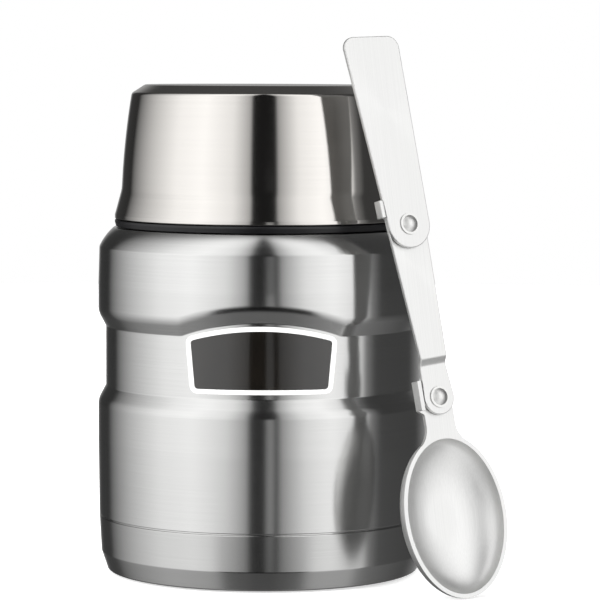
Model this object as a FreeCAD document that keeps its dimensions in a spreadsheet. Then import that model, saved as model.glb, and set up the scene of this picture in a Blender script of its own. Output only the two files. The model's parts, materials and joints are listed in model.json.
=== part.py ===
import FreeCAD, Part
import math
import os
import re

import Sketcher

# An insulated food jar of 0.47 l with its screw-on serving bowl, its stopper and its folding spoon.
# Millimetres, +Z up. The origin is the centre of the foot pad's lower face, on the table.
# The plate on the jar's waist faces -Y, and the spoon stands in front of the jar at +X.

V = FreeCAD.Vector

DIMENSIONS = [
    # Inner vessel
    ("cavity_radius", 42.0, "inner radius of the food vessel"),
    ("cavity_corner", 6.0, "rounding of the vessel's floor and shoulder"),
    ("base_space", 10.9, "room between the base pan and the vessel"),
    ("mouth_step", 7.7, "draw-in of the vessel to its mouth"),
    ("mouth_depth", 15.4, "depth of the mouth's straight wall"),
    ("vessel_slope", 8.6, "height of the vessel's sloping shoulder"),
    ("liner_wall", 0.5, "sheet of the vessel"),
    ("foil_wall", 0.15, "copper foil round the vessel"),
    ("foil_margin", 2.0, "bare vessel above and below the foil"),
    ("getter_radius", 5.0, "radius of the getter tablet"),
    ("getter_thick", 3.0, "thickness of the getter tablet"),
    ("getter_offset", 18.0, "distance of the getter from the axis"),
    ("clip_wall", 0.4, "sheet of the getter's clip"),
    # Outer shell
    ("vacuum_gap", 2.75, "room between the foil and the waist"),
    ("shell_wall", 0.6, "sheet of the outer shell and base pan"),
    ("waist_depth", 2.2, "depth of the waist below the bulges"),
    ("seam_height", 16.7, "height of the seam between shell and base pan"),
    ("seam_gap", 0.35, "open groove at the seam"),
    ("foot_draw", 0.3, "draw-in of the side at the seam"),
    ("lower_swell", 21.3, "height over which the lower bulge fills out"),
    ("lower_band", 10.9, "height of the lower bulge's full band"),
    ("bevel_run", 2.8, "height of the waist's straight bevel"),
    ("bevel_step", 1.5, "radial step of the straight bevel"),
    ("bevel_round", 2.7, "height of the curve that ends the bevel"),
    ("bevel_bend", 2.2, "radius of that curve over its height"),
    ("waist_width", 17.4, "height of the waist's narrow band"),
    ("arch_half", 23.5, "half length of the arch over the plate, along the waist"),
    ("arch_rise", 4.1, "rise of the arch above the waist's upper edge"),
    ("upper_band", 6.7, "height of the upper bulge's full band"),
    ("upper_draw", 10.9, "height over which the upper bulge draws in"),
    ("shoulder_draw", 0.3, "draw-in of the side at the shoulder's crease"),
    ("shoulder_rise", 5.6, "height of the shoulder's curve"),
    ("shoulder_round", 16.0, "radius of the shoulder's curve"),
    ("neck_gap", 1.6, "room between the mouth's wall and the neck"),
    ("neck_rise", 11.5, "height of the lip above the deck under the lid"),
    # Base
    ("pan_draw", 0.9, "draw-in of the base pan above its bevel"),
    ("pan_bevel", 4.8, "height of the pan's bevel"),
    ("pan_bevel_step", 1.9, "radial step of the pan's bevel"),
    ("foot_round", 0.8, "rounding of the foot"),
    ("foot_lift", 0.3, "height of the steel foot above the table"),
    ("pan_lap", 2.2, "length of the pan's edge inside the shell"),
    ("rim_width", 14.4, "width of the foot round the recess"),
    ("recess_depth", 2.4, "height of the recess floor above the table"),
    ("seal_radius", 1.6, "radius of the evacuation hole"),
    ("seal_spread", 1.0, "width of the sealing bead beyond the hole"),
    ("seal_dome", 0.9, "height of the sealing bead inside the base"),
    ("base_disc_wall", 0.5, "sheet of the disc over the evacuation hole"),
    ("pad_clearance", 0.4, "radial gap round the disc and the foot pad"),
    # Plate on the waist
    ("plate_inset", 3.6, "distance of the plate's upper corners from the arch's ends"),
    ("plate_taper", 1.4, "draw-in of the plate's sides at their foot"),
    ("plate_rise", 2.8, "height of the plate above the waist's lower edge"),
    ("plate_wall", 0.25, "thickness of the dark plate"),
    ("frame_width", 1.35, "width of the light frame round the plate"),
    ("frame_wall", 0.4, "thickness of the light frame"),
    ("frame_margin", 0.9, "waist left bare between the frame and the arch"),
    # Threads: every thread of the jar has the same lead and hand
    ("thread_lead", 12.0, "rise in one turn"),
    ("thread_starts", 3, "ridges in each thread"),
    ("thread_rise", 2.4, "rise along one ridge"),
    ("ridge_root", 1.6, "height of a ridge at its root"),
    ("ridge_crest", 0.8, "height of a ridge at its crest"),
    ("ridge_bite", 0.3, "root of a ridge inside its wall"),
    ("neck_ridge", 1.2, "height of the neck's ridges over the neck"),
    ("neck_ridge_drop", 5.7, "start of the neck's ridges below the lip"),
    ("mouth_ridge", 1.1, "height of the mouth's ridges inside the mouth"),
    ("mouth_ridge_drop", 10.8, "start of the mouth's ridges below the lip"),
    ("thread_play", 0.45, "gap between a ridge's crest and the wall that it faces"),
    # Stopper
    ("seat_gap", 0.3, "gap between pieces that turn on each other"),
    ("plug_play", 0.5, "gap between the plug and the mouth's ridges"),
    ("plug_wall", 1.6, "wall of the stopper's plug"),
    ("plug_depth", 20.5, "depth of the plug below the lip"),
    ("gasket_thick", 1.0, "thickness of the gasket"),
    ("gasket_margin", 0.2, "bare lip outside the gasket"),
    ("flange_thick", 1.8, "thickness of the stopper's flange"),
    ("cover_thick", 1.5, "thickness of the stopper's cover"),
    ("cover_spigot", 2.0, "depth of the cover's spigot in the plug"),
    ("grip_margin", 0.8, "step from the flange's edge in to the grip ring"),
    ("grip_wall", 3.2, "wall of the grip ring"),
    ("grip_height", 7.0, "height of the grip ring"),
    ("grip_flutes", 36, "flutes round the grip ring"),
    ("flute_radius", 1.1, "radius of a flute"),
    ("finger_gap", 24.0, "width of the gaps for the fingers in the grip ring"),
    ("post_height", 5.0, "height of the posts that hold the folded spoon"),
    ("post_length", 9.0, "length of those posts"),
    ("post_thick", 2.2, "thickness of those posts"),
    ("post_play", 0.4, "gap between a post and the spoon's handle"),
    ("post_spacing", 34.0, "distance between the two pairs of posts"),
    # Lid
    ("trim_height", 2.0, "height of the black ring under the lid"),
    ("trim_play", 0.35, "gap between the black ring and the bowl's skirt"),
    ("trim_draft", 0.35, "draw-in of the ring at its lower edge"),
    ("bowl_skirt_wall", 1.9, "wall of the serving bowl's threaded skirt"),
    ("lid_room", 2.85, "distance from the skirt out to the steel edge"),
    ("deck_margin", 0.3, "deck left bare round the lid"),
    ("lid_wall", 0.5, "sheet of the lid"),
    ("lid_band", 1.1, "height of the straight band at the edge"),
    ("lid_roll", 1.8, "height of the roll above that band"),
    ("lid_roll_step", 0.5, "radial step of the roll"),
    ("lid_flare", 5.6, "height of the flare above the roll"),
    ("lid_flare_step", 1.5, "radial step of the flare"),
    ("lid_side", 28.0, "height of the lid's side above the flare"),
    ("lid_side_step", 2.9, "draw-in of the lid's side"),
    ("lid_side_round", 236.0, "radius of the side's slight belly"),
    ("lid_chamfer", 2.4, "height of the chamfer round the flat top"),
    ("lid_chamfer_step", 3.9, "radial step of that chamfer"),
    ("bowl_wall", 1.5, "wall of the serving bowl"),
    ("bowl_gap", 0.8, "gap between the bowl and the steel"),
    ("bowl_head", 0.6, "gap between the bowl and the lid's flat top"),
    # Spoon, in the plane of its face: y along the piece, x across, z out of its face
    ("spoon_sheet", 1.2, "sheet of the spoon"),
    ("spoon_gap", 0.4, "gap between two pieces that fold on each other"),
    ("spacer_thick", 0.3, "thickness of the washers"),
    ("spacer_play", 0.1, "gap between a washer and the piece that turns on it"),
    ("spacer_radius", 4.0, "radius of the hidden washers"),
    ("washer_radius", 3.0, "radius of the washers that show"),
    ("rivet_radius", 1.6, "radius of a rivet's shank"),
    ("rivet_fit", 0.05, "running gap round a rivet"),
    ("rivet_head", 2.4, "radius of a rivet's heads"),
    ("rivet_dome", 1.0, "height of a rivet's dome"),
    ("rivet_tail", 0.8, "thickness of a rivet's rear head"),
    ("link_joggle", 1.4, "forward step of the link above its foot"),
    ("joggle_start", 9.2, "where the step starts above the lower rivet"),
    ("joggle_run", 1.8, "length of the step"),
    ("link_length", 48.9, "distance between the rivets"),
    ("link_foot", 4.9, "half width of the link round its lower rivet"),
    ("link_waist", 4.2, "half width of the link at its step"),
    ("link_head", 6.3, "half width of the link round its upper rivet"),
    ("tail_half", 4.8, "half width of the spoon bowl's tail"),
    ("scoop_half", 16.7, "half width of the spoon's bowl"),
    ("scoop_semi", 23.0, "half length of the spoon's bowl"),
    ("tail_length", 10.5, "distance from the lower rivet to the bowl's rim"),
    ("scoop_depth", 7.4, "depth of the spoon's bowl inside"),
    ("scoop_power", 2.5, "power of the bowl's rounding, where 2 is an ellipse"),
    ("neck_round", 7.0, "rounding between the tail and the bowl"),
    ("neck_join", 2.1, "where the tail's rounding meets the bowl, beyond its rim"),
    ("handle_foot", 6.7, "half width of the handle round its rivet"),
    ("handle_half", 8.9, "half width of the handle at its top"),
    ("handle_length", 54.5, "distance from the upper rivet to the handle's top"),
    ("handle_corner", 3.6, "rounding of the handle's top corners"),
    ("lug_gap", 0.5, "gap between a stop lug and the round end that it faces"),
    ("lug_rise", 1.9, "height of a stop lug over the sheet that it is bent from"),
    ("lower_lug_drop", 3.2, "lower end of the lower stop lug, below its rivet"),
    ("lower_lug_rise", 5.1, "upper end of the lower stop lug, above its rivet"),
    ("upper_lug_start", 2.7, "lower end of the upper stop lug, above its rivet"),
    ("upper_lug_length", 5.0, "length of the upper stop lug"),
    # How the spoon stands
    ("spoon_stand", 18.94, "distance of the lower rivet from the jar's side"),
    ("spoon_bearing", 43.13, "degrees from the jar's right round to the lower rivet"),
    ("table_gap", 0.1, "gap between the spoon's bowl and the table"),
    ("spoon_turn", 30.0, "degrees that the spoon's face is turned to the right"),
    ("spoon_lean", 12.5, "degrees that the spoon leans back"),
    ("bowl_tilt", 3.8, "degrees that the spoon's bowl leans to the left"),
    ("link_tilt", 6.4, "degrees that the link leans to the left"),
    ("handle_tilt", 6.8, "degrees that the handle leans to the left"),
]

DERIVED = [
    # Radii, from the food vessel outwards
    ("foil_radius", "cavity_radius + liner_wall + foil_wall"),
    ("waist_radius", "foil_radius + vacuum_gap + shell_wall"),
    ("body_radius", "waist_radius + waist_depth"),
    ("side_foot_radius", "body_radius - foot_draw"),
    ("shoulder_radius", "body_radius - shoulder_draw"),
    ("pan_radius", "body_radius - pan_draw"),
    ("foot_radius", "pan_radius - pan_bevel_step"),
    ("recess_radius", "foot_radius - rim_width"),
    ("mouth_radius", "cavity_radius - mouth_step"),
    ("neck_radius", "mouth_radius + liner_wall + neck_gap + shell_wall"),
    ("plug_radius", "mouth_radius - mouth_ridge - plug_play"),
    ("flange_radius", "neck_radius + thread_play - seat_gap"),
    ("grip_radius", "flange_radius - grip_margin"),
    ("skirt_radius", "neck_radius + neck_ridge + thread_play"),
    ("trim_inner", "skirt_radius + bowl_skirt_wall + trim_play"),
    ("lid_radius", "skirt_radius + bowl_skirt_wall + lid_room"),
    ("deck_radius", "lid_radius + deck_margin"),
    ("lid_roll_radius", "lid_radius - lid_roll_step"),
    ("lid_flare_radius", "lid_roll_radius - lid_flare_step"),
    ("lid_top_radius", "lid_flare_radius - lid_side_step"),
    ("lid_face_radius", "lid_top_radius - lid_chamfer_step"),
    # Heights, from the table upwards
    ("pan_bevel_height", "foot_lift + foot_round + pan_bevel"),
    ("cavity_floor", "recess_depth + shell_wall + base_space + liner_wall"),
    ("bulge_low", "seam_height + lower_swell"),
    ("waist_low", "bulge_low + lower_band + bevel_round + bevel_run"),
    ("plate_low", "waist_low + plate_rise"),
    ("waist_high", "waist_low + waist_width"),
    ("bulge_high", "waist_high + bevel_run + bevel_round + upper_band"),
    ("shoulder_height", "bulge_high + upper_draw"),
    ("deck_height", "shoulder_height + shoulder_rise"),
    ("lip_height", "deck_height + neck_rise"),
    ("mouth_start", "lip_height - mouth_depth"),
    ("cavity_top", "mouth_start - vessel_slope"),
    ("neck_ridge_height", "lip_height - neck_ridge_drop"),
    ("mouth_ridge_height", "lip_height - mouth_ridge_drop"),
    ("plug_low", "lip_height - plug_depth"),
    ("gasket_low", "lip_height + seat_gap"),
    ("flange_low", "gasket_low + gasket_thick + seat_gap"),
    ("cover_low", "flange_low + flange_thick"),
    ("cover_top", "cover_low + cover_thick"),
    ("trim_low", "deck_height + seat_gap"),
    ("trim_top", "trim_low + trim_height"),
    ("lid_edge", "trim_top + seat_gap"),
    ("lid_roll_height", "lid_edge + lid_band + lid_roll"),
    ("lid_flare_height", "lid_roll_height + lid_flare"),
    ("lid_side_top", "lid_flare_height + lid_side"),
    ("total_height", "lid_side_top + lid_chamfer"),
    # Plate and spoon
    ("plate_half", "arch_half - plate_inset"),
    ("scoop_reach", "tail_length + scoop_semi"),
    ("upper_lug_end", "upper_lug_start + upper_lug_length"),
    ("link_back", "spoon_gap + link_joggle"),
    ("link_front", "link_back + spoon_sheet"),
    ("handle_back", "link_front + spoon_gap"),
]


def bound(text):
    """Return an expression in which every sheet alias has its sheet's name."""
    return re.sub(r"\b([a-z]\w*)\b(?!\()", r"dims.\1", text)


class Model:
    """The document, its sheet of sizes and the sub-parts made from them."""

    def __init__(self):
        self.doc = FreeCAD.newDocument("food_jar")
        self.sheet = self.doc.addObject("Spreadsheet::Sheet", "dims")
        cells = [(alias, str(size), note) for alias, size, note in DIMENSIONS]
        cells += [(alias, "=" + formula, "") for alias, formula in DERIVED]
        for row, (alias, content, note) in enumerate(cells, start=1):
            self.sheet.set(f"A{row}", note or alias.replace("_", " "))
            self.sheet.set(f"B{row}", content)
            self.sheet.setAlias(f"B{row}", alias)
        self.doc.recompute()
        self.nodes = []

    def value(self, text):
        """Work out an expression of sheet aliases as a number."""
        return float(self.sheet.evalExpression(bound(text)))

    def bind(self, item, path, text):
        """Bind one property of an object to an expression."""
        item.setExpression(path, bound(text))

    def body(self, name):
        """Start a body."""
        return self.doc.addObject("PartDesign::Body", name)

    def origin(self, body, role):
        """Return one of a body's own origin planes or axes."""
        return next(f for f in body.Origin.OriginFeatures if f.Role == role)

    def sketch(self, body, name, role="XZ_Plane", offset=None):
        """Attach an empty sketch to one of the body's origin planes."""
        sketch = body.newObject("Sketcher::SketchObject", name)
        sketch.AttachmentSupport = [(self.origin(body, role), "")]
        sketch.MapMode = "FlatFace"
        if offset is not None:
            self.bind(sketch, "AttachmentOffset.Base.z", offset)
        return sketch

    def place(self, sketch, edge, end, corner):
        """Tie one end of an edge to a corner given by two expressions."""
        for kind, axis, text in (("DistanceX", -2, corner[0]), ("DistanceY", -1, corner[1])):
            if text == "0":
                sketch.addConstraint(Sketcher.Constraint("PointOnObject", edge, end, axis))
            else:
                size = self.value(text)
                index = sketch.addConstraint(Sketcher.Constraint(kind, -1, 1, edge, end, size))
                self.bind(sketch, f"Constraints[{index}]", text)

    def loop(self, sketch, corners):
        """Draw a closed outline.

        A corner is (x, y) before a straight edge, or (x, y, radius, bend) before an arc to the
        next corner, which bends to the left (1) or to the right (-1) of the way along it.
        """
        count = len(corners)
        spots = [V(self.value(c[0]), self.value(c[1]), 0) for c in corners]
        edges = []
        for i, corner in enumerate(corners):
            start = spots[i]
            stop = spots[(i + 1) % count]
            if len(corner) == 2:
                edge = sketch.addGeometry(Part.LineSegment(start, stop), False)
                edges.append((edge, 1, 2))
                continue
            radius = self.value(corner[2])
            chord = stop - start
            left = V(-chord.y, chord.x, 0).normalize()
            depth = math.sqrt(radius ** 2 - (chord.Length / 2) ** 2)
            centre = (start + stop) * 0.5 + left * (depth * corner[3])
            first, last = (start, stop) if corner[3] > 0 else (stop, start)
            begin = math.atan2(first.y - centre.y, first.x - centre.x)
            finish = math.atan2(last.y - centre.y, last.x - centre.x)
            if finish < begin:
                finish += 2 * math.pi
            circle = Part.Circle(centre, V(0, 0, 1), radius)
            edge = sketch.addGeometry(Part.ArcOfCircle(circle, begin, finish), False)
            ends = (1, 2) if corner[3] > 0 else (2, 1)
            edges.append((edge, ends[0], ends[1]))
            index = sketch.addConstraint(Sketcher.Constraint("Radius", edge, radius))
            self.bind(sketch, f"Constraints[{index}]", corner[2])
        for i, corner in enumerate(corners):
            edge, begin, _ = edges[i]
            before, _, finish = edges[i - 1]
            sketch.addConstraint(Sketcher.Constraint("Coincident", before, finish, edge, begin))
            self.place(sketch, edge, begin, corner)

    def circle(self, sketch, x, y, radius):
        """Draw a circle whose centre and radius are expressions."""
        centre = V(self.value(x), self.value(y), 0)
        size = self.value(radius)
        edge = sketch.addGeometry(Part.Circle(centre, V(0, 0, 1), size), False)
        index = sketch.addConstraint(Sketcher.Constraint("Radius", edge, size))
        self.bind(sketch, f"Constraints[{index}]", radius)
        self.place(sketch, edge, 3, (x, y))

    def revolve(self, body, name, corners):
        """Turn a closed outline of radius and height about the Z axis."""
        sketch = self.sketch(body, name + "_outline")
        self.loop(sketch, corners)
        turned = body.newObject("PartDesign::Revolution", name)
        turned.Profile = sketch
        turned.ReferenceAxis = (sketch, ["V_Axis"])
        turned.Angle = 360
        self.doc.recompute()
        return turned

    def pad(self, body, name, sketch, length, both_ways=False):
        """Pad a sketch out of its plane."""
        pad = body.newObject("PartDesign::Pad", name)
        pad.Profile = sketch
        self.bind(pad, "Length", length)
        pad.Midplane = both_ways
        self.doc.recompute()
        return pad

    def pocket(self, body, name, sketch, length, backwards=False, both_ways=False):
        """Cut a sketch into the body and make sure that it took something away."""
        before = body.Shape.Volume
        pocket = body.newObject("PartDesign::Pocket", name)
        pocket.Profile = sketch
        self.bind(pocket, "Length", length)
        pocket.Reversed = backwards
        pocket.Midplane = both_ways
        self.doc.recompute()
        if pocket.Shape.Volume > before - 1e-6:
            raise RuntimeError(f"{name} cuts nothing")
        return pocket

    def polar(self, body, name, feature, count):
        """Repeat a feature round the Z axis."""
        pattern = body.newObject("PartDesign::PolarPattern", name)
        pattern.Originals = [feature]
        pattern.Axis = (self.origin(body, "Z_Axis"), [""])
        pattern.Angle = 360
        self.bind(pattern, "Occurrences", count)
        body.Tip = pattern
        self.doc.recompute()
        return pattern

    def thread(self, body, name, wall, height, outward):
        """Add one thread's ridges, each a short helix, to a round wall.

        The wall and the crest are expressions of radius, and the height is that of the middle
        of a ridge where it starts.
        """
        root, crest = wall
        side = "-" if outward else "+"
        sketch = self.sketch(body, name + "_section")
        corners = [
            (f"{root} {side} ridge_bite", f"{height} - ridge_root / 2"),
            (crest, f"{height} - ridge_crest / 2"),
            (crest, f"{height} + ridge_crest / 2"),
            (f"{root} {side} ridge_bite", f"{height} + ridge_root / 2"),
        ]
        self.loop(sketch, corners if outward else corners[::-1])
        self.doc.recompute()
        ridge = body.newObject("PartDesign::AdditiveHelix", name)
        ridge.Profile = sketch
        ridge.ReferenceAxis = (sketch, ["V_Axis"])
        ridge.Mode = 0
        self.bind(ridge, "Pitch", "thread_lead")
        self.bind(ridge, "Height", "thread_rise")
        ridge.Angle = 0
        self.doc.recompute()
        return self.polar(body, name + "s", ridge, "thread_starts")

    def join(self, kind, name, base, tool):
        """Make a cut, a fusion or a common of two objects."""
        result = self.doc.addObject(f"Part::{kind}", name)
        if kind == "Cut":
            result.Base = base
            result.Tool = tool
        else:
            result.Shapes = [base, tool]
        self.doc.recompute()
        return result

    def fuse(self, name, pieces):
        """Fuse several objects into one clean solid."""
        result = self.doc.addObject("Part::MultiFuse", name)
        result.Shapes = pieces
        result.Refine = True
        self.doc.recompute()
        return result

    def primitive(self, kind, name, sizes):
        """Add a Part primitive with its sizes bound to expressions."""
        item = self.doc.addObject(f"Part::{kind}", name)
        for path, text in sizes.items():
            self.bind(item, path, text)
        self.doc.recompute()
        return item

    def keep(self, item, label, placement=None):
        """Name a finished sub-part and set it in its place."""
        item.Label = label
        if placement is not None:
            item.Placement = placement
        self.nodes.append(item)
        return item


# Jar

def waist_bevel(inset, start, way):
    """Return the corners of one bevel of the waist, from the waist outwards.

    The way is "+" above the waist and "-" below it.
    """
    return [
        (f"waist_radius - {inset}", start),
        (f"waist_radius + bevel_step - {inset}", f"{start} {way} bevel_run"),
        (f"body_radius - {inset}", f"{start} {way} (bevel_run + bevel_round)"),
    ]


def jar_form(model, name, inset, over):
    """Turn the solid form of the jar's side, shoulder and neck.

    The inset is the distance inside the outer face, and over is how far the form runs past
    both open ends.
    """
    lower = waist_bevel(inset, "waist_low", "-")
    upper = waist_bevel(inset, "waist_high", "+")
    corners = [
        ("0", f"seam_height - {over}"),
        (f"side_foot_radius - {inset}", f"seam_height - {over}"),
        (f"body_radius - {inset}", "bulge_low"),
        lower[2] + ("bevel_round * bevel_bend", 1),
        lower[1],
        lower[0],
        upper[0],
        upper[1] + ("bevel_round * bevel_bend", 1),
        upper[2],
        (f"body_radius - {inset}", "bulge_high"),
        (f"shoulder_radius - {inset}", "shoulder_height", "shoulder_round", 1),
        (f"deck_radius - {inset}", f"deck_height - {inset}"),
        (f"neck_radius - {inset}", f"deck_height - {inset}"),
        (f"neck_radius - {inset}", f"lip_height - liner_wall + {over}"),
        ("0", f"lip_height - liner_wall + {over}"),
    ]
    body = model.body(name)
    model.revolve(body, name + "_turned", corners)
    return body


def arch_cutter(model, name, inset):
    """Loft the arched pressing over the plate through sections in planes that hold the Z axis.

    The waist's upper edge rises as a circular arc when the waist is rolled flat, and the bevel
    above it keeps its section.
    """
    waist = model.value(f"waist_radius - {inset}")
    full = model.value(f"body_radius - {inset}")
    half = model.value("arch_half / waist_radius")
    reach = model.value("arch_half")
    rise = model.value("arch_rise")
    radius = (reach ** 2 + rise ** 2) / (2 * rise)
    base = model.value("(waist_low + waist_high) / 2")
    edge = model.value("waist_high")
    step = model.value("bevel_step")
    run = model.value("bevel_run")
    curve = model.value("bevel_round")
    bend = model.value("bevel_round * bevel_bend")
    margin = 1.0
    wires = []
    count = 17
    for i in range(count):
        angle = (half + math.radians(margin)) * (2 * i / (count - 1) - 1)
        along = angle * model.value("waist_radius")
        height = edge + rise - radius + math.sqrt(radius ** 2 - along ** 2)
        knee = V(waist + step, 0, height + run)
        top = V(full, 0, height + run + curve)
        chord = top - knee
        side = V(chord.z, 0, -chord.x).normalize()
        middle = (knee + top) * 0.5 - side * (bend - math.sqrt(bend ** 2 - (chord.Length / 2) ** 2))
        spots = [
            V(waist - margin, 0, base),
            V(waist - margin, 0, height - margin * run / step),
            knee,
            middle,
            top,
            V(full + margin, 0, top.z),
            V(full + margin, 0, base),
        ]
        turn = FreeCAD.Rotation(V(0, 0, 1), math.degrees(angle) - 90)
        spots = [turn.multVec(spot) for spot in spots]
        edges = [
            Part.makeLine(spots[0], spots[1]),
            Part.makeLine(spots[1], spots[2]),
            Part.Arc(spots[2], spots[3], spots[4]).toShape(),
            Part.makeLine(spots[4], spots[5]),
            Part.makeLine(spots[5], spots[6]),
            Part.makeLine(spots[6], spots[0]),
        ]
        wires.append(Part.Wire(edges))
    loft = model.doc.addObject("Part::Feature", name + "_loft")
    loft.Shape = Part.makeLoft(wires, True, False)
    core = model.primitive("Cylinder", name + "_core", {
        "Radius": f"waist_radius - {inset}",
        "Height": "shoulder_height",
    })
    return model.join("Cut", name, loft, core)


def outer_shell(model):
    """Press the steel shell: side, arched waist, shoulder, deck and threaded neck."""
    outside = jar_form(model, "shell_outside", "0", "0")
    model.thread(outside, "neck_thread", ("neck_radius", "neck_radius + neck_ridge"),
                 "neck_ridge_height", True)
    inside = jar_form(model, "shell_inside", "shell_wall", "1")
    pressed = model.join("Cut", "shell_pressed", outside, arch_cutter(model, "arch_outside", "0"))
    hollow = model.join("Cut", "shell_hollow", inside,
                        arch_cutter(model, "arch_inside", "shell_wall"))
    model.keep(model.join("Cut", "shell", pressed, hollow), "outer_shell")


def base_pan(model):
    """Turn the pan that closes the shell, with its lap, bevel, foot and recess."""
    body = model.body("pan")
    model.revolve(body, "pan_turned", [
        ("seal_radius", "recess_depth"),
        ("recess_radius", "recess_depth"),
        ("recess_radius + recess_depth - foot_lift", "foot_lift"),
        ("foot_radius - foot_round", "foot_lift", "foot_round", 1),
        ("foot_radius", "foot_lift + foot_round"),
        ("pan_radius", "pan_bevel_height"),
        ("side_foot_radius", "seam_height - seam_gap"),
        ("side_foot_radius - shell_wall", "seam_height - seam_gap"),
        ("side_foot_radius - shell_wall", "seam_height + pan_lap"),
        ("side_foot_radius - 2 * shell_wall", "seam_height + pan_lap"),
        ("side_foot_radius - 2 * shell_wall", "seam_height - seam_gap - shell_wall"),
        ("pan_radius - shell_wall", "pan_bevel_height"),
        ("foot_radius - foot_round", "foot_lift + shell_wall"),
        ("recess_radius + recess_depth - foot_lift + shell_wall", "foot_lift + shell_wall"),
        ("recess_radius + shell_wall", "recess_depth + shell_wall"),
        ("seal_radius", "recess_depth + shell_wall"),
    ])
    model.keep(body, "base_pan")


def vacuum_seal(model):
    """Turn the bead that closes the evacuation hole."""
    spread = "(seal_radius + seal_spread)"
    body = model.body("seal")
    model.revolve(body, "seal_turned", [
        ("0", "recess_depth"),
        ("seal_radius", "recess_depth"),
        ("seal_radius", "recess_depth + shell_wall"),
        (spread, "recess_depth + shell_wall", f"({spread} ^ 2 + seal_dome ^ 2) / (2 * seal_dome)", 1),
        ("0", "recess_depth + shell_wall + seal_dome"),
    ])
    model.keep(body, "vacuum_seal")


def base_layers(model):
    """Turn the disc over the evacuation hole and the foot pad below it."""
    disc = model.primitive("Cylinder", "disc", {
        "Radius": "recess_radius - pad_clearance",
        "Height": "base_disc_wall",
        "Placement.Base.z": "recess_depth - base_disc_wall",
    })
    model.keep(disc, "base_disc")
    pad = model.primitive("Cylinder", "pad", {
        "Radius": "recess_radius - pad_clearance",
        "Height": "recess_depth - base_disc_wall",
    })
    model.keep(pad, "foot_pad")


def inner_liner(model):
    """Draw the food vessel, its shoulder, its threaded mouth and its lip."""
    body = model.body("liner")
    corner = "cavity_corner + liner_wall"
    model.revolve(body, "liner_turned", [
        ("0", "cavity_floor - liner_wall"),
        ("cavity_radius - cavity_corner", "cavity_floor - liner_wall", corner, 1),
        ("cavity_radius + liner_wall", "cavity_floor + cavity_corner"),
        ("cavity_radius + liner_wall", "cavity_top"),
        ("mouth_radius + liner_wall", "mouth_start + liner_wall"),
        ("mouth_radius + liner_wall", "lip_height - liner_wall"),
        ("neck_radius", "lip_height - liner_wall"),
        ("neck_radius", "lip_height"),
        ("mouth_radius", "lip_height"),
        ("mouth_radius", "mouth_start"),
        ("cavity_radius", "cavity_top - liner_wall"),
        ("cavity_radius", "cavity_floor + cavity_corner", "cavity_corner", -1),
        ("cavity_radius - cavity_corner", "cavity_floor"),
        ("0", "cavity_floor"),
    ])
    model.thread(body, "mouth_thread", ("mouth_radius", "mouth_radius - mouth_ridge"),
                 "mouth_ridge_height", False)
    model.keep(body, "inner_liner")


def radiation_foil(model):
    """Wrap the copper foil round the vessel."""
    low = "cavity_floor + cavity_corner + foil_margin"
    high = "cavity_top - foil_margin"
    body = model.body("foil")
    model.revolve(body, "foil_turned", [
        ("cavity_radius + liner_wall", low),
        ("cavity_radius + liner_wall + foil_wall", low),
        ("cavity_radius + liner_wall + foil_wall", high),
        ("cavity_radius + liner_wall", high),
    ])
    model.keep(body, "radiation_foil")


def getter(model):
    """Hang the getter tablet in its clip under the vessel's floor."""
    top = "cavity_floor - liner_wall"
    place = FreeCAD.Placement(V(model.value("getter_offset"), 0, 0), FreeCAD.Rotation())
    clip = model.body("clip")
    model.revolve(clip, "clip_turned", [
        ("0", f"{top} - clip_wall"),
        ("getter_radius", f"{top} - clip_wall"),
        ("getter_radius", f"{top} - clip_wall - getter_thick"),
        ("getter_radius - 2 * clip_wall", f"{top} - clip_wall - getter_thick"),
        ("getter_radius - 2 * clip_wall", f"{top} - 2 * clip_wall - getter_thick"),
        ("getter_radius + clip_wall", f"{top} - 2 * clip_wall - getter_thick"),
        ("getter_radius + clip_wall", top),
        ("0", top),
    ])
    model.keep(clip, "getter_clip", place)
    tablet = model.body("tablet")
    model.revolve(tablet, "tablet_turned", [
        ("0", f"{top} - clip_wall - getter_thick"),
        ("getter_radius", f"{top} - clip_wall - getter_thick"),
        ("getter_radius", f"{top} - clip_wall"),
        ("0", f"{top} - clip_wall"),
    ])
    model.keep(tablet, "getter_tablet", place)


def plate_outline(grow):
    """Return the plate's outline, grown by an expression, with its arched top."""
    drop = "(arch_half ^ 2 / (2 * arch_rise) - arch_rise / 2)"
    radius = f"({drop} + arch_rise - frame_margin - frame_width + {grow})"
    side = f"(plate_half + {grow})"
    foot = f"(plate_half - plate_taper + {grow})"
    shoulder = f"waist_high - {drop} + sqrt({radius} ^ 2 - {side} ^ 2)"
    return [
        (f"-{foot}", f"plate_low - {grow}"),
        (foot, f"plate_low - {grow}"),
        (side, shoulder, radius, 1),
        (f"-{side}", shoulder),
    ]


def plate_piece(model, name, loops, wall):
    """Cut a piece of a thin tube round the waist to an outline seen from the front."""
    body = model.body(name + "_outline")
    sketch = model.sketch(body, name + "_sketch")
    for corners in loops:
        model.loop(sketch, corners)
    model.doc.recompute()
    model.pad(body, name + "_pad", sketch, "body_radius")
    tube = model.body(name + "_tube")
    model.revolve(tube, name + "_turned", [
        ("waist_radius", "waist_low"),
        (f"waist_radius + {wall}", "waist_low"),
        (f"waist_radius + {wall}", "waist_high + arch_rise"),
        ("waist_radius", "waist_high + arch_rise"),
    ])
    return model.join("MultiCommon", name, body, tube)


def name_plate(model):
    """Fix the bare dark plate and its light frame on the waist."""
    inner = plate_outline("0")
    outer = plate_outline("frame_width")
    model.keep(plate_piece(model, "plate", [inner], "plate_wall"), "waist_plate")
    model.keep(plate_piece(model, "frame", [outer, inner], "frame_wall"), "waist_plate_frame")


# Stopper



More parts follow.
